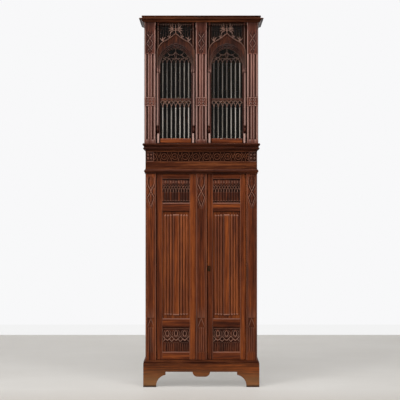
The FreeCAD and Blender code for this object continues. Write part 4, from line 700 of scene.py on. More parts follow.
def head_panel_depth(u, w):
    """Head panel: reeds rise into interlaced arches under a sloping slip.

    From each reed two arcs lean left and right; w is the height above the panel's foot.
    """
    spring, arch_rise, arch_radius, slip_base, slip_top, foot = 63.0, 49, 51.5, 114, 137, 8
    lean, stretch = leaning(np.clip(w - spring, 0, arch_rise), arch_radius)
    gaps = [np.abs(repeated(u + turn * lean, HEAD_PITCH)) / stretch for turn in (-1, 1)]
    arches = ridge(np.minimum(*gaps), 2.7)
    reeds = 0.25 + 0.5 * ridge(gaps[0], 7.4)
    height = np.where(w > spring, arches, reeds)
    height = np.where(w > slip_base, 0.3 + 0.5 * np.clip((slip_top - w) / 20, 0, 1), height)
    height = np.where(w < foot + 2.5 * np.cos(2 * np.pi * u / HEAD_PITCH), 0.0, height)
    return PANEL_GROUND - PANEL_RELIEF * height


def head_panel_light(u, w):
    """Painted light on a head panel: a painted highlight on its scalloped slip, painted shade under the rail
    and in the arches.
    """
    arch_base, arch_top, slip_middle, slip_half, rail_shade = 64, 113, 124, 9.0, 134
    scallops = 0.3 + 0.25 * np.cos(2 * np.pi * u / HEAD_PITCH)
    painted_light = 0.8 * (w > rail_shade) + 0.3 * ((w > arch_base) & (w < arch_top))
    return scallops * plateau(np.abs(w - slip_middle), slip_half, 3.0) - painted_light


def foot_panel_depth(u, w):
    """Foot panel: three rings with a pierced almond each, a chain of shallow Vs below, lancets under it."""
    pitch, ring_height, ring_radius = 51.6, 107.0, 22.0
    seed_half, seed_tall = 10.0, 16.5
    chain_foot, chain_rise, loop_head, loop_drop = 67, 25, 82, 22
    lancet_spring, lancet_rise, lancet_radius, lancet_top = 42.0, 13.9, 14.5, 57
    border_height, border_side, carved_top, shallow = 137, 79, 142, 50
    across = repeated(u, pitch)
    aside = np.abs(across) / (pitch / 2)
    v = w - ring_height
    far = np.hypot(across, v)
    rings = 0.6 * ridge(np.abs(far - ring_radius), 3.0)
    seed = np.hypot(across / seed_half, v / seed_tall)
    almonds = ridge(np.abs(seed - 1) * seed_half, 3.4)
    chain = ridge(np.abs(w - chain_foot - chain_rise * aside ** 1.3) / 1.35, 3.0)
    loop = ridge(np.abs(w - loop_head + loop_drop * aside ** 1.2) / 1.4, 2.6) * (np.abs(across) > 9)
    lean, _ = leaning(np.clip(w - lancet_spring, 0, lancet_rise), lancet_radius)
    bars = [np.abs(repeated(u + turn * lean, pitch / 4)) for turn in (-1, 1)]
    lancets = 0.45 * ridge(np.minimum(*bars), 3.4) * (w < lancet_top)
    border = np.maximum(plateau(np.abs(w - border_height), 3.5, 2.0),
                        plateau(np.abs(np.abs(u) - border_side), 2.0, 1.0))
    height = np.maximum.reduce([rings, almonds, chain, loop, lancets, 0.7 * border])
    height = np.where(w > carved_top, 0.0, height)
    # Towards its foot the ground comes forward and the carving on it grows shallower.
    ground = PANEL_GROUND - 3.0 * np.clip((shallow - w) / 40, 0, 1)
    return ground - PANEL_RELIEF * height * (0.45 + 0.55 * np.clip(w / shallow, 0, 1))


def foot_panel_marks(u, w):
    """Marks on a foot panel: its chain is lighter, and painted shade lies under the rail."""
    chain_middle, chain_half, rail_shade = 80, 22.0, 138
    return 0.25 * plateau(np.abs(w - chain_middle), chain_half, 6.0) - 0.8 * (w > rail_shade) + 0.0 * u


def linen_height(u):
    """Linenfold across its width: a flat middle fold and three rolled ones on each side."""
    folds = [PANEL_RELIEF * plateau(np.abs(u), 20.5, 3.0)]
    folds += [tall * ridge(np.abs(u) - place, 7.6) for place, tall in ((31.5, 6.6), (47.5, 6.0), (63.5, 5.6))]
    return np.maximum.reduce(folds)


def linen_end(u, w, tall):
    """How far each place lies inside the ends of the cloth, which runs further on higher folds."""
    margin, spread = 17.0, 11.0
    return np.minimum(w, tall - w) - margin - spread * (1 - linen_height(u) / PANEL_RELIEF)


def linen_depth(u, w, tall):
    """Linenfold panel: the folds stop short of the ends in a curling hem, higher folds running further."""
    cloth_half, cloth_thick, hem_inset = 72.5, 0.8, 12.0
    end = linen_end(u, w, tall)
    cloth = np.clip(end / 3.0, 0, 1)
    hem = 0.9 * ridge(end - hem_inset, 2.0)
    return PANEL_GROUND - (linen_height(u) + cloth_thick) * cloth * (np.abs(u) < cloth_half) + hem * cloth


def linen_light(u, w, tall):
    """Painted light on a linenfold panel: painted highlights on the fold tips, painted shade under the rail.
    """
    tips = 0.45 * plateau(np.abs(linen_end(u, w, tall) - 5.0), 6.0, 3.0) * (linen_height(u) > 3)
    return tips - 0.7 * plateau(tall - w, 8.0, 4.0)


def carved_panels():
    """Head, linenfold and foot panels of both lower doors."""
    rear = extent("lower_left_carved_panels")[1][1]
    x = np.linspace(-PANEL_HALF, PANEL_HALF, 206)
    head_rows = np.linspace(HEAD_PANEL_BASE, HEAD_PANEL_TOP, 178)
    foot_rows = np.linspace(FOOT_RAIL, FOOT_PANEL_TOP, 182)
    tall, hem = FOLD_TOP - FOLD_BASE, 52
    hems = [(FOLD_BASE, FOLD_BASE + hem), (FOLD_TOP - hem, FOLD_TOP)]
    fold_rows = rows(FOLD_BASE, FOLD_TOP, hems, fine=1.0, plain=30.0)
    for side, name in HANDS:
        middle = side * PANEL_MIDDLE
        shell = Shell()
        for z, depth, added_light_and_wear in ((head_rows, head_panel_depth, head_panel_light),
                               (foot_rows, foot_panel_depth, foot_panel_marks)):
            u, w = np.meshgrid(x, z - z[0], indexing="ij")
            slab(shell, middle + x, z, depth(u, w), LOWER_DOOR, rear, deepest=30.0, crest=3.2, reach=7,
                 tone=-0.8, added_light_and_wear=added_light_and_wear(u, w))
        body = f"lower_{name}_door"
        shell.make(f"carved_{name}_panels", body, [f"lower_{name}_carved_panels"], [OAK_UP])
        u, w = np.meshgrid(x, fold_rows - FOLD_BASE, indexing="ij")
        shell = Shell()
        slab(shell, middle + x, fold_rows, linen_depth(u, w, tall), LOWER_DOOR, rear, deepest=80.0, crest=6.0,
             reach=7, tone=0.25, added_light_and_wear=linen_light(u, w, tall))
        shell.make(f"linenfold_{name}", body, [f"lower_{name}_linenfold_panel"], [OAK_UP])


def frame_member(shell, low, high, along, edges, added_light_and_wear=0.0, carve=0.0, **look):
    """A straight stile or rail between two corners: a section with moulded front corners carried along it.

    edges are the sizes of the hollow or eased corner at the section's lower and upper end; the added painted
    highlight and rubbing lie on the larger of them.
    """
    across = ACROSS if along == UPWARD else UPWARD
    (near, far), front, rear = edges, low[1], high[1]
    turn, land = np.radians(np.linspace(0, 90, 5)), 0.6
    first = np.stack([low[across] + near * (1 - np.cos(turn)), front + near * (1 - np.sin(turn))], axis=-1)
    last = np.stack([high[across] - far * (1 - np.sin(turn)), front + far * (1 - np.cos(turn))], axis=-1)
    flat = [(low[across] + near + land, front), (high[across] - far - land, front)]
    section = np.concatenate([[(low[across], rear)], first, flat, last, [(high[across], rear)]])
    grid = np.empty((2, len(section), 3))
    grid[..., across] = section[:, 0]
    grid[..., 1] = section[:, 1]
    grid[0, :, along], grid[1, :, along] = low[along], high[along]
    marks = np.full(len(section), carve)
    # Painted highlight and rubbing on the larger corner, as on the sloped sills.
    marks[1:6] += added_light_and_wear * (near > far)
    marks[8:13] += added_light_and_wear * (far > near)
    capped(shell, grid, carve=marks, **look)


def hollowed(shell, low, high, rooms, **look):
    """A block with box-shaped rooms cut into it, each given by two corners.

    The planes of all the rooms divide the block into cells. A face lies wherever wood meets an empty cell.
    """
    planes = [np.unique(np.clip([low[axis], high[axis]] + [corner[axis] for room in rooms for corner in room],
                                low[axis], high[axis])) for axis in range(3)]
    middles = np.meshgrid(*((line[1:] + line[:-1]) / 2 for line in planes), indexing="ij")
    wood = np.ones(middles[0].shape, int)
    for start, stop in rooms:
        inside = [(start[axis] < middles[axis]) & (middles[axis] < stop[axis]) for axis in range(3)]
        wood[np.all(inside, axis=0)] = 0
    for axis in range(3):
        one, two = (other for other in range(3) if other != axis)
        room_for_ends = [(1, 1) if other == axis else (0, 0) for other in range(3)]
        faces = np.argwhere(np.diff(np.pad(wood, room_for_ends), axis=axis))
        places = np.repeat(faces[:, None, :], 4, axis=1)
        places[..., one] += np.array([0, 1, 1, 0])
        places[..., two] += np.array([0, 0, 1, 1])
        points = np.stack([planes[other][places[..., other]] for other in range(3)], axis=-1)
        shell.add(points.reshape(-1, 3), np.arange(points.size // 3).reshape(-1, 4), **look)


def grown(corners, by):
    """A box made larger on every side."""
    low, high = corners
    return [edge - by for edge in low], [edge + by for edge in high]


def bolt_rooms(node, end):
    """The bore of an edge bolt, out through the stile's end, and the slot behind it for its stud."""
    low, high = extent(node)
    stud = (low[2] + high[2]) / 2
    thick = high[0] - low[0]
    bore = grown((low, (high[0], low[1] + thick, high[2])), 0.4)
    ends = sorted((stud - end * STUD_PLAY, stud + end * (BOLT_TRAVEL + STUD_PLAY)))
    slot = ((low[0] + 0.5, low[1] + thick / 2, ends[0]), (high[0] - 0.5, LOWER_DOOR_REAR + 1, ends[1]))
    bore[0 if end < 0 else 1][2] += end * 2
    return [bore, slot]


def lock_rooms(name):
    """The right stile's pocket for the lock, or the left stile's mortise for the lock's bolt."""
    if name == "right":
        return [grown(extent("lower_lock_case"), 0.1)]
    low, high = grown(extent("lower_lock_bolt"), 0.5)
    edge = extent("lower_left_door_frame")[1][0]
    return [((edge - LOCK_TRAVEL, low[1], low[2]), (edge + 1, high[1], high[2]))]


def door_frames():
    """Stiles and rails of the lower doors, with sloped sills and rounded inner edges round the panels.

    A stile has a moulded face and a rear block, which leaves room for the bolts and the lock.
    """
    rails = [(DOOR_BASE, FOOT_RAIL), (FOOT_PANEL_TOP, FOLD_BASE), (FOLD_TOP, HEAD_PANEL_BASE),
             (HEAD_PANEL_TOP, DOOR_TOP)]
    rail_tones = (-0.1, -0.45, -0.4, -0.35)
    stile_tones = {"left": (0.0, 0.4), "right": (-0.3, 0.1)}
    layer_rear, block_front, rail_front = LOWER_DOOR + 6.6, LOWER_DOOR + 6.5, LOWER_DOOR + 0.3
    for side, name in HANDS:
        low, high = extent(f"lower_{name}_door_frame")
        inner = sorted((side * (PANEL_MIDDLE - PANEL_HALF), side * (PANEL_MIDDLE + PANEL_HALF)))
        shell = Shell()
        sides = ((low[0], inner[0], (1.0, 3.0)), (inner[1], high[0], (3.0, 1.0)))
        rooms = lock_rooms(name)
        if name == "left":
            rooms += bolt_rooms("lower_left_foot_bolt", -1) + bolt_rooms("lower_left_head_bolt", 1)
        for (start, stop, edges), tone in zip(sides, stile_tones[name]):
            frame_member(shell, (start, LOWER_DOOR, DOOR_BASE), (stop, layer_rear, DOOR_TOP), UPWARD, edges,
                         added_light_and_wear=0.3, tone=tone)
            hollowed(shell, (start, block_front, DOOR_BASE), (stop, LOWER_DOOR_REAR, DOOR_TOP), rooms,
                     tone=tone)
        for (base, top), tone in zip(rails, rail_tones):
            edges = (1.0 if base == DOOR_BASE else 2.0, 1.0 if top == DOOR_TOP else 6.0)
            frame_member(shell, (inner[0] + 0.05, rail_front, base), (inner[1] - 0.05, LOWER_DOOR_REAR, top),
                         ACROSS, edges, added_light_and_wear=0.4, tone=tone, finish=1)
        shell.make(f"framed_{name}_door", f"lower_{name}_door", [f"lower_{name}_door_frame"],
                   [OAK_UP, OAK_LEVEL])


def arch_line(offset, count=24):
    """The window's pointed arch at an offset outside its edge, from the right springing to the left one."""
    rise = ARCH_CROWN - ARCH_SPRING
    centre = (rise ** 2 - WINDOW_HALF ** 2) / (2 * WINDOW_HALF)
    radius = WINDOW_HALF + centre + offset
    angle = np.linspace(0, np.arccos(centre / radius), count)
    right = np.stack([radius * np.cos(angle) - centre, ARCH_SPRING + radius * np.sin(angle)], axis=-1)
    left = right[-2::-1] * (-1, 1)
    return np.concatenate([right, left])


HOOD_FOOT, HOOD_JOINT, HOOD_APEX = (109.0, 1980.0), (66.0, 2049.5), (0.0, 2095.0)


def hood_half(count=24):
    """Right half of the ogee hood: an upright start, a convex arc to the joint, a hollow arc to the apex."""
    (foot_x, foot_z), (joint_x, joint_z), (apex_x, apex_z) = HOOD_FOOT, HOOD_JOINT, HOOD_APEX
    inward, upward = foot_x - joint_x, joint_z - foot_z
    radius = (inward ** 2 + upward ** 2) / (2 * inward)
    stop = math.atan2(upward, radius - inward)
    angle = np.linspace(0, stop, count)
    lower = np.stack([foot_x - radius + radius * np.cos(angle), foot_z + radius * np.sin(angle)], axis=-1)
    chord = math.hypot(joint_x - apex_x, apex_z - joint_z)
    sweep = math.atan2(apex_z - joint_z, joint_x - apex_x) - (math.pi / 2 - stop)
    hollow = chord / (2 * math.sin(sweep))
    middle = np.array([joint_x + hollow * math.cos(stop), joint_z + hollow * math.sin(stop)])
    angle = np.linspace(stop + math.pi, stop + math.pi - 2 * sweep, count)
    upper = middle + hollow * np.stack([np.cos(angle), np.sin(angle)], axis=-1)
    start = np.stack([np.full(count, foot_x), np.linspace(ARCH_SPRING, foot_z, count)], axis=-1)
    return np.concatenate([start[:-1], lower[:-1], upper])


def hood_line():
    """The whole hood from right to left."""
    right = hood_half()
    return np.concatenate([right, right[-2::-1] * (-1, 1)])


def hood_height(u):
    """Height of the hood's line over a place across the window."""
    line = hood_half()[::-1]
    return np.interp(np.abs(u), line[:, 0], line[:, 1])


def along_line(line, count):
    """A line's points set evenly along its length."""
    run = np.concatenate([[0], np.cumsum(np.hypot(*np.diff(line, axis=0).T))])
    even = np.linspace(0, run[-1], count)
    return np.stack([np.interp(even, run, line[:, 0]), np.interp(even, run, line[:, 1])], axis=-1)


def arch_band(shell, middle):
    """Arch mouldings: three rolls follow the opening, a hollow opens from them to the ogee hood's roll.

    The rolls are 15.6 mm wide together at the springing and nearly twice that at the crown. Across the band
    each point moves from the arch to the hood; its depth is a quarter hollow between them.
    """
    count, roll_count, roll_steps, rolls_width, crown_gain = 97, 3, 7, 15.6, 0.8
    opening, outer = along_line(arch_line(0.0), count), along_line(hood_line(), count)
    rise = np.clip((opening[:, 1:] - ARCH_SPRING) / (ARCH_CROWN - ARCH_SPRING), 0, 1)
    inner = opening + (along_line(arch_line(rolls_width), count) - opening) * (1 + crown_gain * rise)
    face, rear = UPPER_DOOR - 1.5, UPPER_DOOR + 9.0
    # Painted light across the band: highlights on the rolls and the hood's roll, shade between the rolls and
    # deep in the hollow.
    lines, depths, crests = [opening], [rear], [0.0]
    for roll in range(roll_count):
        for angle in np.linspace(0, np.pi, roll_steps + 1)[:-1]:
            lines.append(opening + (inner - opening) * (roll + 0.5 - 0.5 * math.cos(angle)) / roll_count)
            depths.append(face + 2.0 - roll * 0.5 - 4.0 * math.sin(angle))
            crests.append(1.7 * math.sin(angle) ** 2 - 1.0)
    rolled = len(lines)
    for share in np.linspace(0, 1, 9)[:-1]:
        lines.append(inner + share * (outer - inner))
        depths.append(face + 1.0 - 6.5 * (1 - math.cos(share * math.pi / 2)))
        crests.append(-0.5 * (1 - share))
    run = np.gradient(outer, axis=0)
    out = np.stack([run[:, 1], -run[:, 0]], axis=-1) / np.linalg.norm(run, axis=1, keepdims=True)
    for angle in np.linspace(0, np.pi, 7):
        lines.append(outer + out * (0.5 - 4.0 * math.cos(angle)))
        depths.append(face - 3.0 - 8.0 * math.sin(angle))
        crests.append(0.4 * math.sin(angle))
    lines.append(lines[-1])
    depths.append(rear)
    crests.append(0.0)
    grid = np.empty((count, len(lines), 3))
    for index, (line, depth) in enumerate(zip(lines, depths)):
        grid[:, index] = np.stack([middle + line[:, 0], np.full(count, depth), line[:, 1]], axis=-1)
    # Painted shade: the rolls are darker than the rest, most of all under the hood's point.
    rolls = np.arange(len(lines)) < rolled
    shade = np.concatenate([rise[:1], rise, rise[-1:]])
    capped(shell, grid, carve=np.array(crests) - 0.8 * shade * rolls, tone=np.where(rolls, -0.5, 0.2))


FRET_HALF, FRET_HEAD = 102.2, WINDOW_HEAD + 11.5


def fret(shell, middle):
    """Pierced board on the door's face over the hood: a row of narrow lancets between slim bars."""
    pitch, slot_half, head, half = 14.6, 5.8, 9.0, FRET_HALF
    top = FRET_HEAD - 3.0

    def wood(u, z):
        board = np.minimum.reduce([z - hood_height(u) + 4.0, FRET_HEAD - z, half - np.abs(u)])
        off = np.abs(u % pitch - pitch / 2)
        rise = np.clip(z - top + head, 0, None) / head
        return np.minimum(board, slot_half * (np.hypot(off / slot_half, rise) - 1))

    def crest_light_and_wear(z):
        return np.full_like(z, 0.35)

    x, z = np.arange(-half, half + 0.5, 0.9), np.arange(1990.0, FRET_HEAD + 1, 1.2)
    # The board is darkened with painted shade, its bars' front edges lightly painted with a highlight.
    pierced(shell, middle, x, z, wood, UPPER_DOOR - 3.6, UPPER_DOOR - 0.3, bevel=1.2, crest_light_and_wear=crest_light_and_wear, dark=-0.9,
            tone=-1.2)


def fret_frame(shell, middle):
    """Slim beads on the door's face beside and over the pierced board."""
    inner, outer, head = FRET_HALF - 0.4, FRET_HALF + 4.6, FRET_HEAD + 4
    foot, edges = hood_height(outer), (2.0, 2.0)
    for side in (-1, 1):
        low, high = sorted((middle + side * inner, middle + side * outer))
        # Painted highlights on the beads.
        frame_member(shell, (low, UPPER_DOOR - 5, foot), (high, PLANTED, head), UPWARD, edges, carve=0.4)
    frame_member(shell, (middle - inner, UPPER_DOOR - 4, FRET_HEAD - 0.5), (middle + inner, PLANTED, head),
                 ACROSS, edges, carve=0.15)


def finial_and_crockets(shell, middle):
    """Leaves on the hood: a cross of four curled leaves on a stem at the apex, two crockets on each slope."""
    front = UPPER_DOOR - 3.0
    x, apex = middle + HOOD_APEX[0], HOOD_APEX[1]
    # Painted highlights on the stem and the leaves.
    look = {"tone": 0.0, "carve": 0.55}
    leaf(shell, (x, apex - 6), (x, apex + 60), width=7, thick=7, front=front, carve=0.7)
    for side in (-1, 1):
        spray(shell, (x, apex + 16), (x + side * 43, apex + 13), front, bend=side * 7, **look)
        spray(shell, (x + side * 2, apex + 28), (x + side * 36, apex + 54), front, bend=-side * 6, **look)
        for place, tall in ((34.0, 24.0), (72.0, 34.0)):
            foot_x, foot_z = middle + side * place, hood_height(place) - 2
            spray(shell, (foot_x, foot_z), (foot_x + side * 5, foot_z + tall), front, bend=-side * 3, **look)
            root, tip = (foot_x - side * 8, foot_z + 2), (foot_x + side * 14, foot_z + 12)
            leaf(shell, root, tip, width=8, thick=6, front=front, **look)


def tracery_wood(u, z):
    """Tracery head: lancets over the spindles, two rows of daggers above, a forked stem under the crown."""
    bar_half, arch_half, fork, fork_half, fork_drop, fork_tall = 1.05, 0.9, 1986, 7, 18, 44
    dagger_radius, daggers = 22.5, ((26, 1991.5, 345), (56, 1977.0, 340))
    arch_centre, arch_reach = 16.8, 110.5
    arch = arch_line(0.0)
    strokes = [near_line(u, z, first, last) - arch_half for first, last in zip(arch[:-1:2], arch[2::2])]
    strokes.append(near_line(u, z, (0, fork - 2), (0, ARCH_CROWN)))
    for side in (-1, 1):
        for place, height, stop in daggers:
            strokes.append(near_arc(u, z, (side * place, height), dagger_radius, 195, stop))
        elbow = (side * fork_half, fork - fork_drop)
        strokes.append(near_line(u, z, (0, fork), elbow))
        strokes.append(near_line(u, z, elbow, (0, fork - fork_tall)))
    pitch, spring, radius = SPINDLE_PITCH, SPINDLE_TOP - 1, 30.0
    lean, stretch = leaning(np.clip(z - spring, 0, radius - 0.5), radius)
    last = (SPINDLE_COUNT - 1) / 2
    for turn in (-1, 1):
        place = np.clip(np.round((u - turn * lean) / pitch), -last, last) * pitch
        off = np.abs(u - turn * lean - place) / stretch
        strokes.append(np.where((z < spring + radius) & (lean < pitch), off, 9.0))
    inside = np.abs(u) < last * pitch + 16
    field = bar_half - np.minimum.reduce(strokes)
    opening = arch_reach - np.hypot(np.abs(u) + arch_centre, z - ARCH_SPRING)
    return np.where(inside | (z > spring), np.minimum(np.minimum(field, opening), z - spring + 0.6), -1.0)


def arcade_wood(u, z):
    """Transom with an interlaced arcade below: from each spindle two arcs lean to its neighbours' heads."""
    pitch, tall, bar_half = SPINDLE_PITCH, TRANSOM_BASE - ARCADE_BASE, 1.9
    lean, stretch = leaning(np.clip(z - ARCADE_BASE, 0, tall), (pitch ** 2 + tall ** 2) / (2 * pitch))
    gaps = [np.abs(repeated(u + turn * lean, pitch)) / stretch for turn in (-1, 1)]
    bars = bar_half - np.minimum(*gaps)
    bar = np.minimum(z - TRANSOM_BASE + 0.5, TRANSOM_TOP - z)
    return np.minimum(np.maximum(bars, bar), np.minimum(WINDOW_HALF - np.abs(u), z - ARCADE_BASE + 0.6))


def tracery(shell, middle):
    """Both pierced boards of a window: the head under its arch and the arcade at the transom."""
    low, high = extent("upper_left_tracery")
    x = np.arange(-WINDOW_HALF, WINDOW_HALF + 0.4, 0.75)

    def crest_light_and_wear(z):
        # The bars' front edges carry a painted highlight; the transom's flat bar keeps its stain.
        return np.where((z > TRANSOM_BASE) & (z <= TRANSOM_TOP), 0.1, 0.95)

    for wood, base, top in ((tracery_wood, SPINDLE_TOP - 2, ARCH_CROWN + 2),
                            (arcade_wood, ARCADE_BASE - 1, TRANSOM_TOP + 1)):
        pierced(shell, middle, x, np.arange(base, top, 0.8), wood, low[1], high[1], bevel=1.2, crest_light_and_wear=crest_light_and_wear,
                dark=-0.7)


def spindle_profile(base, top):
    """A turned rod between two heights: a stepped foot, a slightly swelling shaft and a ringed cap."""
    slim = 3.1
    shares = np.linspace(0.1, 0.9, 9)
    shaft = [(base + share * (top - base), slim + 0.5 * math.sin(math.pi * share)) for share in shares]
    rings = ((0, 4.2), (3, 4.3), (4, 3.4), (7, 4.2), (9, slim))
    foot = [(base + step, radius) for step, radius in rings]
    cap = [(top - step, radius) for step, radius in rings[::-1]]
    return foot + shaft + cap


def spindles(name, body, middle, node):
    """Seven turned rods in each of a window's two tiers."""
    low, high = extent(node)
    shell = Shell()
    for place in (np.arange(SPINDLE_COUNT) - (SPINDLE_COUNT - 1) / 2) * SPINDLE_PITCH:
        for base, top in ((WINDOW_SILL, ARCADE_BASE + 1), (TRANSOM_TOP - 1, SPINDLE_TOP)):
            tone = place / 120 + (0.6 if base == WINDOW_SILL else -0.6)
            profile = spindle_profile(base, top)
            turned(shell, middle + place, (low[1] + high[1]) / 2, profile, sides=12, tone=tone)
    shell.make(name, body, [node], [OAK_ROD_SHEEN])


def colonnettes(shell, middle):
    """Jamb shafts of a window: a slim one to the sill, a stouter one on a corbel, leafy capitals over both.

    The pedestal at the foot of each jamb and the block at its head hold the door's pivot pins.
    """
    spring, base, corbel = ARCH_SPRING, UPPER_DOOR_BASE, 1506
    slim_y, stout_y = UPPER_DOOR - 3.6, UPPER_DOOR - 6.6
    slim_place, stout_place, block_inner, block_outer = 97.0, 107.2, 98.2, 108.8
    slim_shaft = [(base + 2, 3.4), (base + 52, 3.4), (base + 54, 5.2), (base + 60, 5.2), (base + 64, 3.4),
                  (spring - 44, 3.4)]
    corbelled = ((0, 0.6), (10, 2.6), (18, 5.6), (24, 5.8), (30, 3.4), (41, 3.4), (46, 6.2), (52, 6.4),
                 (57, 5.8))
    shaft = [(corbel + step, radius) for step, radius in corbelled]
    shaft += [(spring - 46, 5.8), (spring - 44, 6.4), (spring - 41, 6.4)]
    # The corbel is darker than the shaft on it, which carries a painted highlight; the first and last heights
    # count again for the closed ends.
    heights = np.array([shaft[0]] + shaft + [shaft[-1]])[:, :1]
    dull = np.where(heights < corbel + 44, -0.3, 0.5)
    bell = [(spring - 45, 3.2), (spring - 36, 4.4), (spring - 26, 6.0), (spring - 20, 4.6),
            (spring - 10, 6.4), (spring - 3, 5.2), (spring + 2, 5.8), (spring + 4, 5.8)]
    # Each block's foot and top, the sizes of its edges, its tone, and its painted light: the pedestal's is a
    # bright painted reflection.
    blocks = ((base, base + 56, (0.6, 4.0), 0.4, 1.0),
              (UPPER_DOOR_TOP - 19, UPPER_DOOR_TOP, (4.0, 0.6), -1.0, 0.0))
    for side in (-1, 1):
        slim, stout = middle + side * slim_place, middle + side * stout_place
        turned(shell, slim, slim_y, slim_shaft, sides=12, tone=-1.4, carve=-0.2)
        turned(shell, stout, stout_y, shaft, sides=16, tone=-0.4, carve=dull)
        for place, y in ((slim, slim_y), (stout, stout_y)):
            turned(shell, place, y, bell, sides=24, lobes=6, cut=0.16, tone=-1.2, carve=0.1)
        for place, tall in ((slim, 24), (stout, 30)):
            leaf(shell, (place, spring - 40), (place + side * 2, spring - 40 + tall), width=8, thick=4,
                 front=UPPER_DOOR - 8.5, bend=side * 2, curl=2, tone=-0.4, carve=0.3)
        left, right = sorted((middle + side * block_inner, middle + side * block_outer))
        for foot, top, edges, tone, crest_light_and_wear in blocks:
            frame_member(shell, (left, UPPER_FACE + 0.5, foot + 0.3), (right, PLANTED, top - 0.3), ACROSS,
                         edges, tone=tone, carve=crest_light_and_wear)
    sill, sill_half = WINDOW_SILL + 1, 90.5
    frame_member(shell, (middle - sill_half, UPPER_DOOR - 7, sill - 26), (middle + sill_half, PLANTED, sill),
                 ACROSS, (1.0, 6.5), tone=0.3, finish=1)


def windows():
    """Arches, tracery, spindles and colonnettes of both glazed doors."""
    for side, name in HANDS:
        body, middle = f"upper_{name}_door", side * WINDOW_MIDDLE
        shell = Shell()
        for part in (arch_band, fret, fret_frame, finial_and_crockets):
            part(shell, middle)
        shell.make(f"arch_and_hood_{name}", body, [f"upper_{name}_arch"], [OAK_SHADED])
        shell = Shell()
        tracery(shell, middle)
        shell.make(f"tracery_{name}", body, [f"upper_{name}_tracery"], [OAK_SHADED])
        spindles(f"spindles_{name}", body, middle, f"upper_{name}_spindles")
        shell = Shell()
        colonnettes(shell, middle)
        shell.make(f"colonnettes_{name}", body, [f"upper_{name}_colonnettes"], [OAK_SHEEN, OAK_LEVEL])


def dress_frame():
    """Materials and eased edges for the CAD nodes that stay in view."""
    side_frames = tuple(f"{stage}_{name}_side_frame" for stage in ("lower", "upper") for _, name in HANDS)
    beads = tuple(f"upper_{name}_glazing_beads" for _, name in HANDS)
    level = ("plinth_back", "bottom_board", "waist_board", "top_board", "lower_shelf", "upper_shelf")
    uses = ((OAK_LEVEL, level), (OAK_UP, side_frames + ("side_panels",)),
            (OAK_FRAME_SHADE, ("upper_left_door_frame", "upper_right_door_frame") + beads),
            (OAK_PLINTH, ("plinth_front",)), (OAK_PLINTH_SIDE, ("plinth_sides",)),
            (OAK_MOULDING_SHADE, ("frieze_board",)), (OAK_DEEP, ("shelf_battens",)),
            (OAK_RAW, ("lower_back_boards", "upper_back_boards")),
            (GLASS, ("upper_left_glass", "upper_right_glass")), (BRASS, ("lower_escutcheon",)))
    finishes = {name: finish for finish, names in uses for name in names}
    # A bevel tears where solids of one node touch, so these keep their plain edges.
    plain = side_frames + beads
    for name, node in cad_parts.items():
        finish = finishes.get(name, IRON)
        node.data.materials.clear()
        node.data.materials.append(finish)
        if name in finishes and name not in plain and finish not in (GLASS, BRASS):
            weld = node.modifiers.new("joined_faces", "WELD")
            weld.merge_threshold = 0.01 * MM
            flat = node.modifiers.new("flat_faces", "DECIMATE")
            flat.decimate_type = "DISSOLVE"
            flat.angle_limit = math.radians(1)
            ease = node.modifiers.new("eased_edges", "BEVEL")
            ease.width = 1.2 * MM
            ease.segments = 2
            ease.limit_method = "ANGLE"
            ease.angle_limit = math.radians(50)
            ease.use_clamp_overlap = True


def stage_plane(name, low, high, material):
    """One flat piece of the studio, level or upright, from two opposite corners in metres."""
    (left, near, base), (right, far, top) = low, high
    corners = [(left, near, base), (right, near, base), (right, far, top), (left, far, top)]
    mesh = bpy.data.meshes.new(name)
    mesh.from_pydata(corners, [], [(0, 1, 2, 3)])
    mesh.materials.append(material)
    made = placed(name, mesh)


def painted_wall(name, colour):
    """Matt white paint, shown at its own colour to the camera and in reflections, and lit plainly otherwise.

    From behind it is clear, so that the cabinet's back can be looked at.
    """
    material, tree = blank(name)
    path = add(tree, "LightPath")
    seen = path.outputs["Is Camera Ray"]
    for ray in ("Is Glossy Ray", "Is Transmission Ray"):
        seen = add(tree, "Math", {0: seen, 1: path.outputs[ray]}, operation="MAXIMUM")
    paint = add(tree, "BsdfDiffuse", {"Color": linear(colour)})
    glow = add(tree, "Emission", {"Color": linear(colour), "Strength": 1.0})
    both = add(tree, "MixShader", {0: seen, 1: paint, 2: glow})
    behind = add(tree, "NewGeometry").outputs["Backfacing"]
    one_way = add(tree, "MixShader", {0: behind, 1: both, 2: add(tree, "BsdfTransparent")})
    add(tree, "OutputMaterial", {0: one_way})
    return material


def pale_floor(name):
    """Polished concrete: pale grey, with faint clouds half a metre across.

    The camera sees it part lit by itself, and it darkens over the last metre towards the camera.
    """
    material, tree = blank(name)
    place = add(tree, "TexCoord").outputs["Object"]
    cloud = add(tree, "TexNoise", {"Vector": place, "Scale": 1 / 0.5, "Detail": 4.0})
    dull, pale = linear("#d6d2cc"), linear("#e2dfda")
    tint = add(tree, "Mix", {0: cloud, 6: dull, 7: pale}, data_type="RGBA").outputs[2]
    depth = add(tree, "SeparateXYZ", {0: place}).outputs["Y"]
    near = add(tree, "MapRange", {0: depth, 1: -0.3, 2: -1.3})
    tint = add(tree, "Mix", {0: near, 6: tint, 7: linear("#c0b8af")}, data_type="RGBA").outputs[2]
    floor = add(tree, "BsdfPrincipled", {"Base Color": tint, "Roughness": 0.55, "IOR": 1.45})
    glow = add(tree, "Emission", {"Color": tint, "Strength": 0.95})
    seen = add(tree, "LightPath").outputs["Is Camera Ray"]
    share = add(tree, "Math", {0: seen, 1: 0.5}, operation="MULTIPLY")
    both = add(tree, "MixShader", {0: share, 1: floor, 2: glow})
    add(tree, "OutputMaterial", {0: both})
    return material


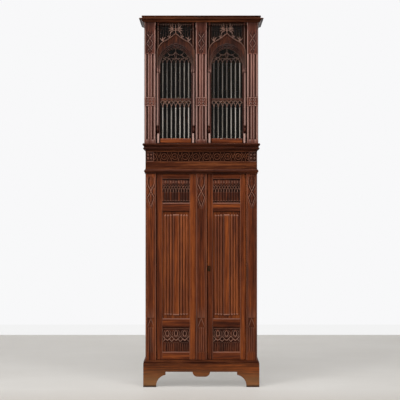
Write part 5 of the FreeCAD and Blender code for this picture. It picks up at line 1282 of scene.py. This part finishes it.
def studio():
    """Floor, wall with its skirting, soft lamps and the camera, in metres."""
    distance, view_width, sensor, aside, eye_height = 9.0, 2.372, 36.0, -0.0077, 1.108
    wall_y, reach, tall, skirting_thick, skirting_top = 3.29, 7.0, 5.0, 0.015, 0.085
    skirting_y = wall_y - skirting_thick
    floor = pale_floor("polished_concrete")
    stage_plane("floor", (-reach, -distance - 1, 0), (reach, distance + 1, 0), floor)
    paint = painted_wall("white_wall_paint", "#f8f8f9")
    stage_plane("wall", (-reach, wall_y, 0), (reach, wall_y, tall), paint)
    trim_paint = painted_wall("white_skirting_paint", "#f3f3f3")
    stage_plane("skirting", (-reach, skirting_y, 0), (reach, skirting_y, skirting_top), trim_paint)
    # Each lamp's place, what it is aimed at, its size and its power in watts.
    lamps = (("left_box", (-2.6, -3.6, 2.9), (0.0, 0.0, 1.3), (2.0, 2.4), 125),
             ("overhead_box", (0.0, -1.7, 4.4), (0.0, -0.2, 1.0), (2.4, 1.2), 130),
             ("right_box", (2.4, -3.8, 2.6), (0.0, 0.0, 1.3), (1.6, 2.0), 36))
    for name, place, aim, size, power in lamps:
        lamp = bpy.data.lights.new(name, "AREA")
        lamp.shape = "RECTANGLE"
        lamp.size, lamp.size_y = size
        lamp.energy = power
        made = placed(name, lamp)
        made.location = place
        run = np.subtract(aim, place)
        made.rotation_euler = (math.acos(-run[2] / np.linalg.norm(run)), 0, math.atan2(-run[0], run[1]))
    world = bpy.data.worlds.new("studio_air")
    bpy.context.scene.world = world
    world.use_nodes = True
    air = world.node_tree
    seen = add(air, "LightPath").outputs["Is Camera Ray"]
    level = add(air, "MapRange", {0: seen, 3: 0.1, 4: 1.0})
    air.links.new(level.outputs[0], air.nodes["Background"].inputs["Strength"])
    air.nodes["Background"].inputs["Color"].default_value = linear("#f2f3f5")
    camera = bpy.data.cameras.new("camera")
    camera.sensor_width = sensor
    camera.lens = sensor * distance / view_width
    holder = placed("camera", camera)
    holder.location = (aside, LOWER_FACE * MM - distance, eye_height)
    holder.rotation_euler = (math.pi / 2, 0, 0)
    bpy.context.scene.camera = holder
    bpy.context.scene.view_settings.view_transform = "Standard"


dress_frame()
uprights()
mouldings()
frieze()
carved_panels()
door_frames()
windows()
studio()
